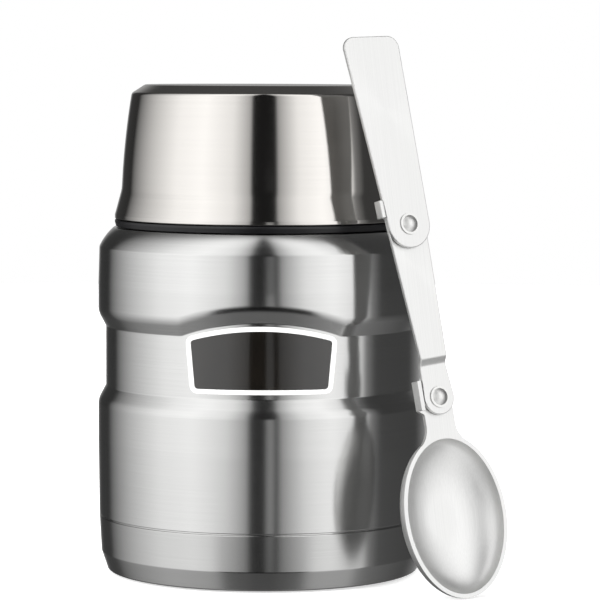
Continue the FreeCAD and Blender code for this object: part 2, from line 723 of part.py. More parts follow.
def stopper_gasket(model):
    """Turn the silicone ring between the lip and the stopper's flange."""
    body = model.body("gasket")
    model.revolve(body, "gasket_turned", [
        ("plug_radius + seat_gap", "gasket_low"),
        ("neck_radius - gasket_margin", "gasket_low"),
        ("neck_radius - gasket_margin", "gasket_low + gasket_thick"),
        ("plug_radius + seat_gap", "gasket_low + gasket_thick"),
    ])
    model.keep(body, "stopper_gasket")


def stopper_body(model):
    """Turn the stopper's hollow plug and its flange, with its thread."""
    body = model.body("plug")
    model.revolve(body, "plug_turned", [
        ("0", "plug_low"),
        ("plug_radius", "plug_low"),
        ("plug_radius", "flange_low"),
        ("flange_radius", "flange_low"),
        ("flange_radius", "cover_low"),
        ("plug_radius - plug_wall", "cover_low"),
        ("plug_radius - plug_wall", "plug_low + plug_wall"),
        ("0", "plug_low + plug_wall"),
    ])
    model.thread(body, "plug_thread", ("plug_radius", "mouth_radius - thread_play"),
                 "mouth_ridge_height - thread_lead / thread_starts / 2", True)
    model.keep(body, "stopper_body")


def stopper_foam(model):
    """Fill the plug with its insulation."""
    foam = model.primitive("Cylinder", "foam", {
        "Radius": "plug_radius - plug_wall",
        "Height": "cover_low - cover_spigot - plug_low - plug_wall",
        "Placement.Base.z": "plug_low + plug_wall",
    })
    model.keep(foam, "stopper_foam")


def stopper_cover(model):
    """Make the cover with its fluted grip ring and the posts that hold the folded spoon."""
    body = model.body("cover")
    model.revolve(body, "cover_turned", [
        ("0", "cover_low - cover_spigot"),
        ("plug_radius - plug_wall", "cover_low - cover_spigot"),
        ("plug_radius - plug_wall", "cover_low"),
        ("flange_radius", "cover_low"),
        ("flange_radius", "cover_top"),
        ("grip_radius", "cover_top"),
        ("grip_radius", "cover_top + grip_height"),
        ("grip_radius - grip_wall", "cover_top + grip_height"),
        ("grip_radius - grip_wall", "cover_top"),
        ("0", "cover_top"),
    ])
    gap = model.sketch(body, "finger_gap_outline", "XZ_Plane")
    model.loop(gap, [
        ("-finger_gap / 2", "cover_top"),
        ("finger_gap / 2", "cover_top"),
        ("finger_gap / 2", "cover_top + grip_height"),
        ("-finger_gap / 2", "cover_top + grip_height"),
    ])
    model.pocket(body, "finger_gap_cut", gap, "2 * flange_radius", both_ways=True)
    posts = model.sketch(body, "post_outline", "XY_Plane", "cover_top")
    for x_side in ("-", ""):
        for y_side in ("-", ""):
            near = f"{x_side}(handle_half + post_play)"
            far = f"{x_side}(handle_half + post_play + post_thick)"
            front = f"{y_side}(post_spacing - post_length) / 2"
            back = f"{y_side}(post_spacing + post_length) / 2"
            model.loop(posts, [(near, front), (far, front), (far, back), (near, back)])
    model.doc.recompute()
    model.pad(body, "posts", posts, "post_height")
    flute = model.sketch(body, "flute_outline", "XY_Plane", "cover_top + grip_height")
    model.circle(flute, "grip_radius", "0", "flute_radius")
    model.doc.recompute()
    cut = model.pocket(body, "flute", flute, "grip_height")
    model.polar(body, "flutes", cut, "grip_flutes")
    model.keep(body, "stopper_cover")


# Lid



def lid_trim_ring(model):
    """Turn the black ring under the lid's steel edge."""
    body = model.body("trim")
    model.revolve(body, "trim_turned", [
        ("trim_inner", "trim_low"),
        ("lid_radius - trim_draft", "trim_low"),
        ("lid_radius", "trim_top - trim_height / 3"),
        ("lid_radius", "trim_top"),
        ("trim_inner", "trim_top"),
    ])
    model.keep(body, "lid_trim_ring")


def lid_shell(model):
    """Spin the polished steel skin of the lid."""
    body = model.body("lid")
    model.revolve(body, "lid_turned", [
        ("lid_radius - lid_wall", "lid_edge"),
        ("lid_radius", "lid_edge"),
        ("lid_radius", "lid_edge + lid_band"),
        ("lid_roll_radius", "lid_roll_height"),
        ("lid_flare_radius", "lid_flare_height", "lid_side_round", 1),
        ("lid_top_radius", "lid_side_top"),
        ("lid_face_radius", "total_height"),
        ("0", "total_height"),
        ("0", "total_height - lid_wall"),
        ("lid_face_radius - lid_wall / 2", "total_height - lid_wall"),
        ("lid_top_radius - lid_wall", "lid_side_top - lid_wall / 2", "lid_side_round", -1),
        ("lid_flare_radius - lid_wall", "lid_flare_height"),
        ("lid_roll_radius - lid_wall", "lid_roll_height"),
        ("lid_radius - lid_wall", "lid_edge + lid_band"),
    ])
    model.keep(body, "lid_shell")


def lid_bowl(model):
    """Turn the plastic serving bowl inside the lid, mouth down, with its threaded skirt."""
    flare = "(lid_flare_radius - lid_wall - bowl_gap)"
    crown = "(lid_top_radius - lid_wall - bowl_gap)"
    face = "(lid_face_radius - lid_wall - bowl_gap)"
    top = "(total_height - lid_wall - bowl_head)"
    side_top = "(lid_side_top - lid_wall - bowl_head)"
    body = model.body("serving_bowl")
    model.revolve(body, "serving_bowl_turned", [
        ("skirt_radius", "trim_top"),
        ("skirt_radius + bowl_skirt_wall", "trim_top"),
        ("skirt_radius + bowl_skirt_wall", "lid_edge + seat_gap / 2"),
        ("lid_radius - lid_wall", "lid_edge + seat_gap / 2"),
        ("lid_radius - lid_wall", "lid_edge + lid_band"),
        ("skirt_radius + bowl_skirt_wall", "lid_edge + lid_band"),
        (flare, "lid_flare_height"),
        (crown, side_top),
        (face, top),
        ("0", top),
        ("0", f"{top} - bowl_wall"),
        (f"{face} - bowl_wall / 2", f"{top} - bowl_wall"),
        (f"{crown} - bowl_wall", f"{side_top} - bowl_wall / 2"),
        (f"{flare} - bowl_wall", "lid_flare_height"),
    ])
    model.thread(body, "bowl_thread", ("skirt_radius", "neck_radius + thread_play"),
                 "neck_ridge_height - thread_lead / thread_starts / 2", False)
    model.keep(body, "lid_bowl")


# Spoon

SCOOP_LEVELS = (0.0, 0.3, 0.55, 0.75, 0.88, 0.95, 0.985)


def spoon_frame(model):
    """Return the placement of the spoon's plane at the lower rivet.

    Its x runs across the face, its y up along it and its z out of it. The height is the one
    at which the spoon's bowl stands just over the table.
    """
    lean = math.radians(model.value("spoon_lean"))
    tilt = math.radians(model.value("bowl_tilt"))
    across = model.value("scoop_half") * math.sin(tilt) * math.cos(lean)
    along = model.value("scoop_semi") * math.cos(tilt) * math.cos(lean)
    through = model.value("scoop_depth + spoon_sheet") * math.sin(lean) / SCOOP_LEVELS[-1]
    reach = model.value("scoop_reach") * math.cos(tilt) * math.cos(lean)
    power = model.value("scoop_power / (scoop_power - 1)")
    drop = (math.hypot(across, along) ** power + through ** power) ** (1 / power)
    height = reach + drop + model.value("table_gap")
    turn = FreeCAD.Rotation(V(0, 0, 1), model.value("spoon_turn"))
    rise = FreeCAD.Rotation(V(1, 0, 0), 90 - model.value("spoon_lean"))
    bearing = math.radians(model.value("spoon_bearing"))
    out = model.value("body_radius + spoon_stand")
    spot = V(out * math.cos(bearing), -out * math.sin(bearing), height)
    return FreeCAD.Placement(spot, turn * rise)


def tilted(frame, degrees, along=0.0, turned=0.0):
    """Turn a frame in its own plane, after a step along a line that is turned by itself."""
    line = FreeCAD.Rotation(V(0, 0, 1), turned)
    step = FreeCAD.Placement(line.multVec(V(0, along, 0)), FreeCAD.Rotation(V(0, 0, 1), degrees))
    return frame * step


def lug(model, body, name, inner, start, end, level):
    """Bend a stop lug forward from the left edge of the sheet whose front face is at level."""
    sketch = model.sketch(body, name + "_outline", "XY_Plane", f"{level} - spoon_sheet")
    model.loop(sketch, [
        (f"-({inner} + spoon_sheet)", start),
        (f"-({inner})", start),
        (f"-({inner})", end),
        (f"-({inner} + spoon_sheet)", end),
    ])
    model.doc.recompute()
    model.pad(body, name, sketch, "spoon_sheet + lug_rise")


def scoop_form(model, name, inset):
    """Loft the solid form of the spoon's bowl through ellipses, from its rim to its flat floor.

    The walls leave the rim square to it and roll into the floor along a superellipse.
    """
    wide = model.value(f"scoop_half - {inset}")
    long = model.value(f"scoop_semi - {inset}")
    deep = model.value(f"scoop_depth + spoon_sheet - {inset}")
    centre = V(0, -model.value("scoop_reach"), 0)
    power = model.value("scoop_power")
    wires = []
    for part in SCOOP_LEVELS:
        scale = (1 - part ** power) ** (1 / power)
        level = centre - V(0, 0, deep * part / SCOOP_LEVELS[-1])
        ellipse = Part.Ellipse(level, long * scale, wide * scale)
        quarter = math.pi / 2
        edges = [ellipse.toShape(i * quarter, (i + 1) * quarter) for i in range(4)]
        wire = Part.Wire(edges)
        wire.rotate(level, V(0, 0, 1), 90)
        wires.append(wire)
    form = model.doc.addObject("Part::Feature", name)
    form.Shape = Part.makeLoft(wires, True, False)
    return form


def spoon_bowl(model, frame):
    """Press the spoon's bowl with its tail and its stop lug."""
    outer = scoop_form(model, "scoop_outside", "0")
    inner = scoop_form(model, "scoop_inside", "spoon_sheet")
    tail = model.body("tail")
    sketch = model.sketch(tail, "tail_outline", "XY_Plane", "-spoon_sheet")
    lug_edge = "link_foot + lug_gap + spoon_sheet"
    flare = "scoop_half * sqrt(1 - ((scoop_semi - neck_join) / scoop_semi) ^ 2)"
    model.loop(sketch, [
        (f"-({lug_edge})", "-lower_lug_drop"),
        ("-tail_half", "-lower_lug_drop - spoon_sheet"),
        ("-tail_half", "-tail_length + neck_round / 2", "neck_round", -1),
        (f"-{flare}", "-(tail_length + neck_join)"),
        (f"{flare}", "-(tail_length + neck_join)", "neck_round", -1),
        ("tail_half", "-tail_length + neck_round / 2"),
        ("tail_half", "0", "tail_half", 1),
        ("0", "tail_half"),
        ("-tail_half", "lower_lug_rise"),
        (f"-({lug_edge})", "lower_lug_rise"),
    ])
    model.doc.recompute()
    model.pad(tail, "tail_pad", sketch, "spoon_sheet")
    lug(model, tail, "lower_lug", "link_foot + lug_gap", "-lower_lug_drop", "lower_lug_rise", "0")
    hole = model.sketch(tail, "tail_hole", "XY_Plane")
    model.circle(hole, "0", "0", "rivet_radius")
    model.doc.recompute()
    model.pocket(tail, "tail_hole_cut", hole, "spoon_sheet")
    whole = model.fuse("scoop_whole", [outer, tail])
    model.keep(model.join("Cut", "scoop", whole, inner), "spoon_bowl", frame)


def spoon_link(model, frame):
    """Press the link: its stepped strip, cut to its outline, with its stop lug and two holes."""
    strip = model.body("link_strip")
    side = model.sketch(strip, "link_side", "YZ_Plane")
    high = "link_length + upper_lug_end + link_head"
    step = "joggle_start + joggle_run"
    model.loop(side, [
        ("-2 * link_foot", "spoon_gap"),
        ("joggle_start", "spoon_gap"),
        (step, "link_back"),
        (high, "link_back"),
        (high, "link_front"),
        (step, "link_front"),
        ("joggle_start", "spoon_gap + spoon_sheet"),
        ("-2 * link_foot", "spoon_gap + spoon_sheet"),
    ])
    model.doc.recompute()
    model.pad(strip, "link_strip_pad", side, "6 * link_head", both_ways=True)
    outline = model.body("link_outline")
    sketch = model.sketch(outline, "link_sketch", "XY_Plane")
    tab = "handle_foot + lug_gap + spoon_sheet"
    model.loop(sketch, [
        ("-link_foot", "0", "link_foot", 1),
        ("0", "-link_foot", "link_foot", 1),
        ("link_foot", "0"),
        ("link_waist", "joggle_start"),
        ("link_head", "link_length", "link_head", 1),
        ("0", "link_length + link_head"),
        ("-link_head", "link_length + upper_lug_end"),
        (f"-({tab})", "link_length + upper_lug_end"),
        (f"-({tab})", "link_length + upper_lug_start"),
        ("-link_head", "link_length + upper_lug_start"),
        ("-link_waist", "joggle_start"),
    ])
    model.circle(sketch, "0", "0", "rivet_radius + rivet_fit")
    model.circle(sketch, "0", "link_length", "rivet_radius")
    model.doc.recompute()
    model.pad(outline, "link_pad", sketch, "2 * link_foot")
    blank = model.join("MultiCommon", "link_blank", strip, outline)
    stop = model.body("link_stop")
    lug(model, stop, "upper_lug", "handle_foot + lug_gap", "link_length + upper_lug_start",
        "link_length + upper_lug_end", "link_front")
    model.keep(model.fuse("link", [blank, stop]), "spoon_link", frame)


def spoon_handle(model, frame):
    """Cut the plain handle."""
    body = model.body("handle")
    sketch = model.sketch(body, "handle_outline", "XY_Plane", "handle_back")
    side = "handle_length - handle_corner"
    model.loop(sketch, [
        ("-handle_foot", "0", "handle_foot", 1),
        ("0", "-handle_foot", "handle_foot", 1),
        ("handle_foot", "0"),
        ("handle_half", side, "handle_corner", 1),
        ("handle_half - handle_corner", "handle_length"),
        ("-(handle_half - handle_corner)", "handle_length", "handle_corner", 1),
        ("-handle_half", side),
    ])
    model.circle(sketch, "0", "0", "rivet_radius + rivet_fit")
    model.doc.recompute()
    model.pad(body, "handle_pad", sketch, "spoon_sheet")
    model.keep(body, "spoon_handle", frame)


def rivet_set(model, place, frame, back, face):
    """Make one rivet with its hidden washer and the washer that shows.

    The back is the rear face of the rear piece, and the face is the front of the front one.
    """
    seat = f"({face} + spacer_play + spacer_thick)"
    body = model.body(f"{place}_rivet")
    model.revolve(body, f"{place}_rivet_turned", [
        ("0", f"{back} - rivet_tail"),
        ("rivet_head", f"{back} - rivet_tail"),
        ("rivet_head", back),
        ("rivet_radius", back),
        ("rivet_radius", seat),
        ("rivet_head", seat, "(rivet_head ^ 2 + rivet_dome ^ 2) / (2 * rivet_dome)", 1),
        ("0", f"{seat} + rivet_dome"),
    ])
    model.keep(body, f"spoon_rivet_{place}", frame)
    rear = f"({back} + spoon_sheet)"
    levels = {
        "spacer": (rear, "spacer_radius"),
        "washer": (f"({face} + spacer_play)", "washer_radius"),
    }
    for kind, (low, radius) in levels.items():
        ring = model.body(f"{place}_{kind}")
        model.revolve(ring, f"{place}_{kind}_turned", [
            ("rivet_radius", low),
            (radius, low),
            (radius, f"{low} + spacer_thick"),
            ("rivet_radius", f"{low} + spacer_thick"),
        ])
        model.keep(ring, f"spoon_{kind}_{place}", frame)


def spoon(model):
    """Make the folding spoon and stand it in front of the jar."""
    plane = spoon_frame(model)
    reach = model.value("link_length")
    bowl_tilt = model.value("bowl_tilt")
    link_tilt = model.value("link_tilt")
    handle_tilt = model.value("handle_tilt")
    spoon_bowl(model, tilted(plane, bowl_tilt))
    rivet_set(model, "lower", tilted(plane, bowl_tilt), "-spoon_sheet", "(spoon_gap + spoon_sheet)")
    spoon_link(model, tilted(plane, link_tilt))
    upper = tilted(plane, link_tilt, reach, link_tilt)
    rivet_set(model, "upper", upper, "link_back", "(handle_back + spoon_sheet)")
    spoon_handle(model, tilted(plane, handle_tilt, reach, link_tilt))


def check(model):
    """Stop if any object failed or any sub-part isn't a single valid solid."""
    for item in model.doc.Objects:
        if "Invalid" in item.State or "Error" in item.State:
            raise RuntimeError(f"{item.Name} failed: {item.State}")
    for item in model.nodes:
        if item.Shape.isNull() or not item.Shape.isValid():
            raise RuntimeError(f"{item.Label} has no valid shape")
        if len(item.Shape.Solids) != 1:
            raise RuntimeError(f"{item.Label} has {len(item.Shape.Solids)} solids")


def write(model):
    """Write each sub-part to its own file."""
    os.makedirs("parts", exist_ok=True)
    for item in model.nodes:
        item.Shape.exportStep(f"parts/{item.Label}.step")
        box = item.Shape.BoundBox
        print(f"{item.Label:20s} volume {item.Shape.Volume / 1000:8.3f} cm3"
              f"  z {box.ZMin:7.2f} to {box.ZMax:7.2f}")


def main():
    """Build the jar, check it and write it."""
    model = Model()
    outer_shell(model)
    base_pan(model)
    vacuum_seal(model)
    base_layers(model)
    inner_liner(model)
    radiation_foil(model)
    getter(model)
    name_plate(model)
    stopper_gasket(model)
    stopper_body(model)
    stopper_foam(model)
    stopper_cover(model)
    lid_trim_ring(model)
    lid_shell(model)
    lid_bowl(model)
    spoon(model)
    model.doc.recompute()
    check(model)
    write(model)


main()
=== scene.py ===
import json
import logging
import math
from collections.abc import Callable, Sequence
from dataclasses import dataclass
from enum import Enum
from typing import Any, Optional

import bmesh
import bpy
from mathutils import Matrix, Vector

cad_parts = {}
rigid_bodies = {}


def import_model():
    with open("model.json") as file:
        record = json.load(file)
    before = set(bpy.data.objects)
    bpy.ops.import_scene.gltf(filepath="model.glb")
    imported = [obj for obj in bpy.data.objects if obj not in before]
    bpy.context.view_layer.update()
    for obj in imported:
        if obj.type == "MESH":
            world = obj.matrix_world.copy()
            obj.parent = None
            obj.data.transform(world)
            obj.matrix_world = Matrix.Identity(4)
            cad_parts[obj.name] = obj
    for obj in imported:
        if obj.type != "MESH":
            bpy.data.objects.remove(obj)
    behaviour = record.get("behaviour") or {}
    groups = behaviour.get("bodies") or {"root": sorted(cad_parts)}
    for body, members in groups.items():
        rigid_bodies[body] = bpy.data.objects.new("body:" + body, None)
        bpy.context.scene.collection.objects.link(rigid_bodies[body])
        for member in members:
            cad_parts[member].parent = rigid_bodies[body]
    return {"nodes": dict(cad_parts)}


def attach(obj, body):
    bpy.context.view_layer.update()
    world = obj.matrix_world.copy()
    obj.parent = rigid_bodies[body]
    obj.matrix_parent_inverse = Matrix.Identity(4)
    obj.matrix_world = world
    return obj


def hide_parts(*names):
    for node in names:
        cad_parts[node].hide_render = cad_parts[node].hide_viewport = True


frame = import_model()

# The dressed food jar: steel skin, plate, lid and folding spoon, on a white studio floor.
# Metres, in the frame of the CAD nodes. Sizes are written in millimetres and turned by MM.

LOG = logging.getLogger("food_jar")
MM = 0.001
WELD = 1e-6  # metres under which two points of a mesh are merged
SAME_POINT = 1e-7  # metres under which a vertex counts as lying at a given point
ARC_STEP = 9  # most degrees of a rounding that one chord takes
SHARED_EDGE = 0.49  # share of an edge that a rounding may take where the next corner is rounded
WHOLE_EDGE = 0.98  # the same where the next corner is sharp
Colour = tuple[float, float, float, float]
Triple = tuple[float, float, float]


def linear(code: str) -> Colour:
    """Turn an sRGB hex value into a linear colour.

    Args:
        code: Six hex digits, such as "C8C8C6".

    Returns:
        Red, green, blue and an alpha of one.
    """
    shades = [int(code[i:i + 2], 16) / 255 for i in (0, 2, 4)]
    red, green, blue = [s / 12.92 if s <= 0.04045 else ((s + 0.055) / 1.055) ** 2.4 for s in shades]
    return red, green, blue, 1.0


# Outlines


@dataclass(frozen=True)
class Corner:
    """One corner of an outline, in millimetres, with the radius that rounds it."""

    across: float
    up: float
    radius: float = 0.0


def rounded(corners: Sequence[Corner], closed: bool = True) -> list[Vector]:
    """Round the corners of an outline.

    Args:
        corners: The corners in order.
        closed: True where the last corner joins the first.

    Returns:
        The points of the outline, in millimetres, with an arc at each rounded corner.
    """
    points: list[Vector] = []
    count = len(corners)
    for i, corner in enumerate(corners):
        here = Vector((corner.across, corner.up))
        end = not closed and i in (0, count - 1)
        if corner.radius <= 0 or end:
            points.append(here)
            continue
        before = corners[i - 1]
        after = corners[(i + 1) % count]
        back = Vector((before.across, before.up)) - here
        on = Vector((after.across, after.up)) - here
        half = back.angle(on) / 2
        reach = min(corner.radius / math.tan(half),
                    back.length * (SHARED_EDGE if before.radius else WHOLE_EDGE),
                    on.length * (SHARED_EDGE if after.radius else WHOLE_EDGE))
        radius = reach * math.tan(half)
        middle = (back.normalized() + on.normalized()).normalized() * (radius / math.sin(half))
        first = back.normalized() * reach - middle
        turn = math.pi - 2 * half
        steps = max(2, math.ceil(math.degrees(turn) / ARC_STEP))
        way = 1 if back.x * on.y - back.y * on.x < 0 else -1
        for step in range(steps + 1):
            angle = way * turn * step / steps
            spun = Vector((first.x * math.cos(angle) - first.y * math.sin(angle),
                           first.x * math.sin(angle) + first.y * math.cos(angle)))
            points.append(here + middle + spun)
    return points


def bow(start: tuple[float, float], stop: tuple[float, float], radius: float, bend: int,
        steps: int = 8) -> list[Corner]:
    """Give the points of an arc between two corners, without its ends.

    Args:
        start: Where the arc starts.
        stop: Where it ends.
        radius: Its radius in millimetres.
        bend: 1 where it bends to the left of the way along it, -1 to the right.
        steps: How many chords it gets.

    Returns:
        The points between the ends.
    """
    chord = Vector(stop) - Vector(start)
    left = Vector((-chord.y, chord.x)).normalized()
    depth = math.sqrt(radius ** 2 - (chord.length / 2) ** 2)
    centre = (Vector(start) + Vector(stop)) / 2 + left * depth * bend
    first = Vector(start) - centre
    turn = 2 * math.asin(chord.length / 2 / radius) * bend
    points = []
    for step in range(1, steps):
        angle = turn * step / steps
        points.append(Corner(centre.x + first.x * math.cos(angle) - first.y * math.sin(angle),
                             centre.y + first.x * math.sin(angle) + first.y * math.cos(angle)))
    return points


# Bench


class Bench:
    """Blender's modelling operators, each used on what is selected for it alone."""

    @staticmethod
    def clear() -> None:
        """Leave edit mode and deselect everything."""
        if bpy.context.object is not None and bpy.context.object.mode != "OBJECT":
            bpy.ops.object.mode_set(mode="OBJECT")
        bpy.ops.object.select_all(action="DESELECT")

    @staticmethod
    def take(piece: bpy.types.Object) -> None:
        """Make a piece the one that is selected and active.

        Args:
            piece: The piece.
        """
        Bench.clear()
        piece.select_set(True)
        bpy.context.view_layer.objects.active = piece

    @staticmethod
    def edit(piece: bpy.types.Object) -> None:
        """Start to edit a piece, with all of it selected.

        Args:
            piece: The piece.
        """
        Bench.take(piece)
        bpy.ops.object.mode_set(mode="EDIT")
        bpy.ops.mesh.select_all(action="SELECT")

    @staticmethod
    def name(name: str) -> bpy.types.Object:
        """Name the active object and its data.

        Args:
            name: The name of both.

        Returns:
            The object.
        """
        piece = bpy.context.active_object
        piece.name = name
        piece.data.name = name
        return piece

    @staticmethod
    def trace(name: str, points: Sequence[Vector], closed: bool) -> bpy.types.Object:
        """Draw a line of edges by extruding one vertex from point to point.

        Args:
            name: The piece's name.
            points: The points in metres.
            closed: True to join the last point to the first.

        Returns:
            The piece, in edit mode, with everything selected.
        """
        Bench.clear()
        bpy.ops.mesh.primitive_plane_add(size=MM, location=(0, 0, 0))
        piece = Bench.name(name)
        bpy.ops.object.mode_set(mode="EDIT")
        bpy.ops.mesh.select_mode(type="VERT")
        bpy.ops.mesh.select_all(action="SELECT")
        bpy.ops.mesh.merge(type="CENTER")
        bpy.ops.transform.translate(value=points[0])
        for here, there in zip(points, points[1:]):
            bpy.ops.mesh.extrude_region_move(TRANSFORM_OT_translate={"value": there - here})
        if closed:
            ends = (points[0], points[-1])
            Bench.pick(piece, lambda place: min((place - end).length for end in ends) < SAME_POINT)
            bpy.ops.mesh.edge_face_add()
        bpy.ops.mesh.select_all(action="SELECT")
        return piece

    @staticmethod
    def pick(piece: bpy.types.Object, test: Callable[[Vector], bool]) -> int:
        """Select the vertices whose place passes a test, and what lies between them.

        Args:
            piece: The piece in edit mode.
            test: Tells whether a place in metres is picked.

        Returns:
            How many vertices were picked.
        """
        bpy.ops.mesh.select_mode(type="VERT")
        bpy.ops.mesh.select_all(action="DESELECT")
        mesh = bmesh.from_edit_mesh(piece.data)
        picked = [vertex for vertex in mesh.verts if test(vertex.co)]
        for vertex in picked:
            vertex.select_set(True)
        mesh.select_flush(True)
        bmesh.update_edit_mesh(piece.data)
        return len(picked)

    @staticmethod
    def close(piece: bpy.types.Object) -> None:
        """Merge doubled points, drop loose edges, turn every face outwards and leave edit mode.

        Args:
            piece: The piece in edit mode.
        """
        bpy.ops.mesh.select_all(action="SELECT")
        bpy.ops.mesh.remove_doubles(threshold=WELD)
        bpy.ops.mesh.delete_loose()
        bpy.ops.mesh.select_all(action="SELECT")
        bpy.ops.mesh.normals_make_consistent(inside=False)
        bpy.ops.object.mode_set(mode="OBJECT")

    @staticmethod
    def lathe(name: str, outline: Sequence[Vector], steps: int = 256,
              closed: bool = True) -> bpy.types.Object:
        """Spin an outline of radius and height round the Z axis.

        Args:
            name: The piece's name.
            outline: The outline's points in millimetres.
            steps: Steps in a full turn.
            closed: True where the outline is a closed section.

        Returns:
            The turned piece, in object mode.
        """
        points = [Vector((point.x * MM, 0, point.y * MM)) for point in outline]
        piece = Bench.trace(name, points, closed)
        bpy.ops.mesh.spin(steps=steps, angle=math.tau, center=(0, 0, 0), axis=(0, 0, 1))
        Bench.close(piece)
        return piece

    @staticmethod
    def slab(name: str, outline: Sequence[Vector], low: float, thick: float) -> bpy.types.Object:
        """Fill an outline in the XY plane and extrude it along Z.

        Args:
            name: The piece's name.
            outline: The outline's points in millimetres.
            low: Height of its lower face in millimetres.
            thick: Its thickness in millimetres.

        Returns:
            The slab, in object mode.
        """
        points = [Vector((point.x, point.y, low)) * MM for point in outline]
        piece = Bench.trace(name, points, True)
        bpy.ops.mesh.edge_face_add()
        bpy.ops.mesh.extrude_region_move(TRANSFORM_OT_translate={"value": (0, 0, thick * MM)})
        Bench.close(piece)
        return piece

    @staticmethod
    def modify(piece: bpy.types.Object, kind: str, **settings: Any) -> None:
        """Add a modifier and apply it.

        Args:
            piece: The piece.
            kind: The modifier's type.
            settings: The modifier's own settings.
        """
        Bench.take(piece)
        bpy.ops.object.modifier_add(type=kind)
        modifier = piece.modifiers[-1]
        for key, value in settings.items():
            setattr(modifier, key, value)
        bpy.ops.object.modifier_apply(modifier=modifier.name)

    @staticmethod
    def soften(piece: bpy.types.Object, width: float, steps: int = 2, limit: float = 40) -> None:
        """Round a piece's sharp edges.

        Args:
            piece: The piece.
            width: Width of the rounding in millimetres.
            steps: Faces across it.
            limit: The least angle in degrees that counts as an edge.
        """
        Bench.modify(piece, "BEVEL", width=width * MM, segments=steps, limit_method="ANGLE",
                     angle_limit=math.radians(limit), miter_outer="MITER_ARC")

    @staticmethod
    def smooth(piece: bpy.types.Object, angle: float = 32) -> None:
        """Shade a piece smooth, led by its larger faces.

        Args:
            piece: The piece.
            angle: The angle in degrees past which an edge stays sharp.
        """
        Bench.take(piece)
        bpy.ops.object.shade_smooth_by_angle(angle=math.radians(angle))
        Bench.modify(piece, "WEIGHTED_NORMAL", mode="FACE_AREA", weight=50, keep_sharp=True)

    @staticmethod
    def combine(piece: bpy.types.Object, tool: bpy.types.Object, how: str) -> None:
        """Cut or join a piece with a tool, and throw the tool away."""
        Bench.modify(piece, "BOOLEAN", operation=how, object=tool, solver="EXACT")
        Bench.drop(tool)

    @staticmethod
    def drop(tool: bpy.types.Object) -> None:
        """Delete a helper object."""
        Bench.take(tool)
        bpy.ops.object.delete()

    @staticmethod
    def settle(piece: bpy.types.Object, place: Matrix) -> None:
        """Move a piece to its place and put that place into its mesh.

        Args:
            piece: The piece.
            place: The matrix that moves it.
        """
        Bench.take(piece)
        piece.matrix_world = place
        bpy.ops.object.transform_apply(location=True, rotation=True, scale=True)


# Finishes

LAYER_SHARE = 0.55  # how much each finer layer of a noise counts
NOISE_LOW, NOISE_HIGH = 0.3, 0.7  # nearly all of a noise lies between these


class Lay(Enum):
    """The way in which the fine lines of a brushed metal run."""

    ROUND = "round the jar"
    ALONG = "along the spoon"


def add_node(tree: bpy.types.NodeTree, kind: str, links: Optional[dict[Any, Any]] = None,
             values: Optional[dict[Any, Any]] = None, **settings: Any) -> bpy.types.Node:
    """Add a shader node.

    Args:
        tree: The node tree.
        kind: The node's type.
        links: The output socket that feeds each input, by the input's name or number.
        values: The value of each input, by its name or number.
        settings: The node's own settings.

    Returns:
        The new node.
    """
    node = tree.nodes.new(kind)
    for key, value in settings.items():
        setattr(node, key, value)
    for key, value in (values or {}).items():
        node.inputs[key].default_value = value
    for key, source in (links or {}).items():
        tree.links.new(source, node.inputs[key])
    return node


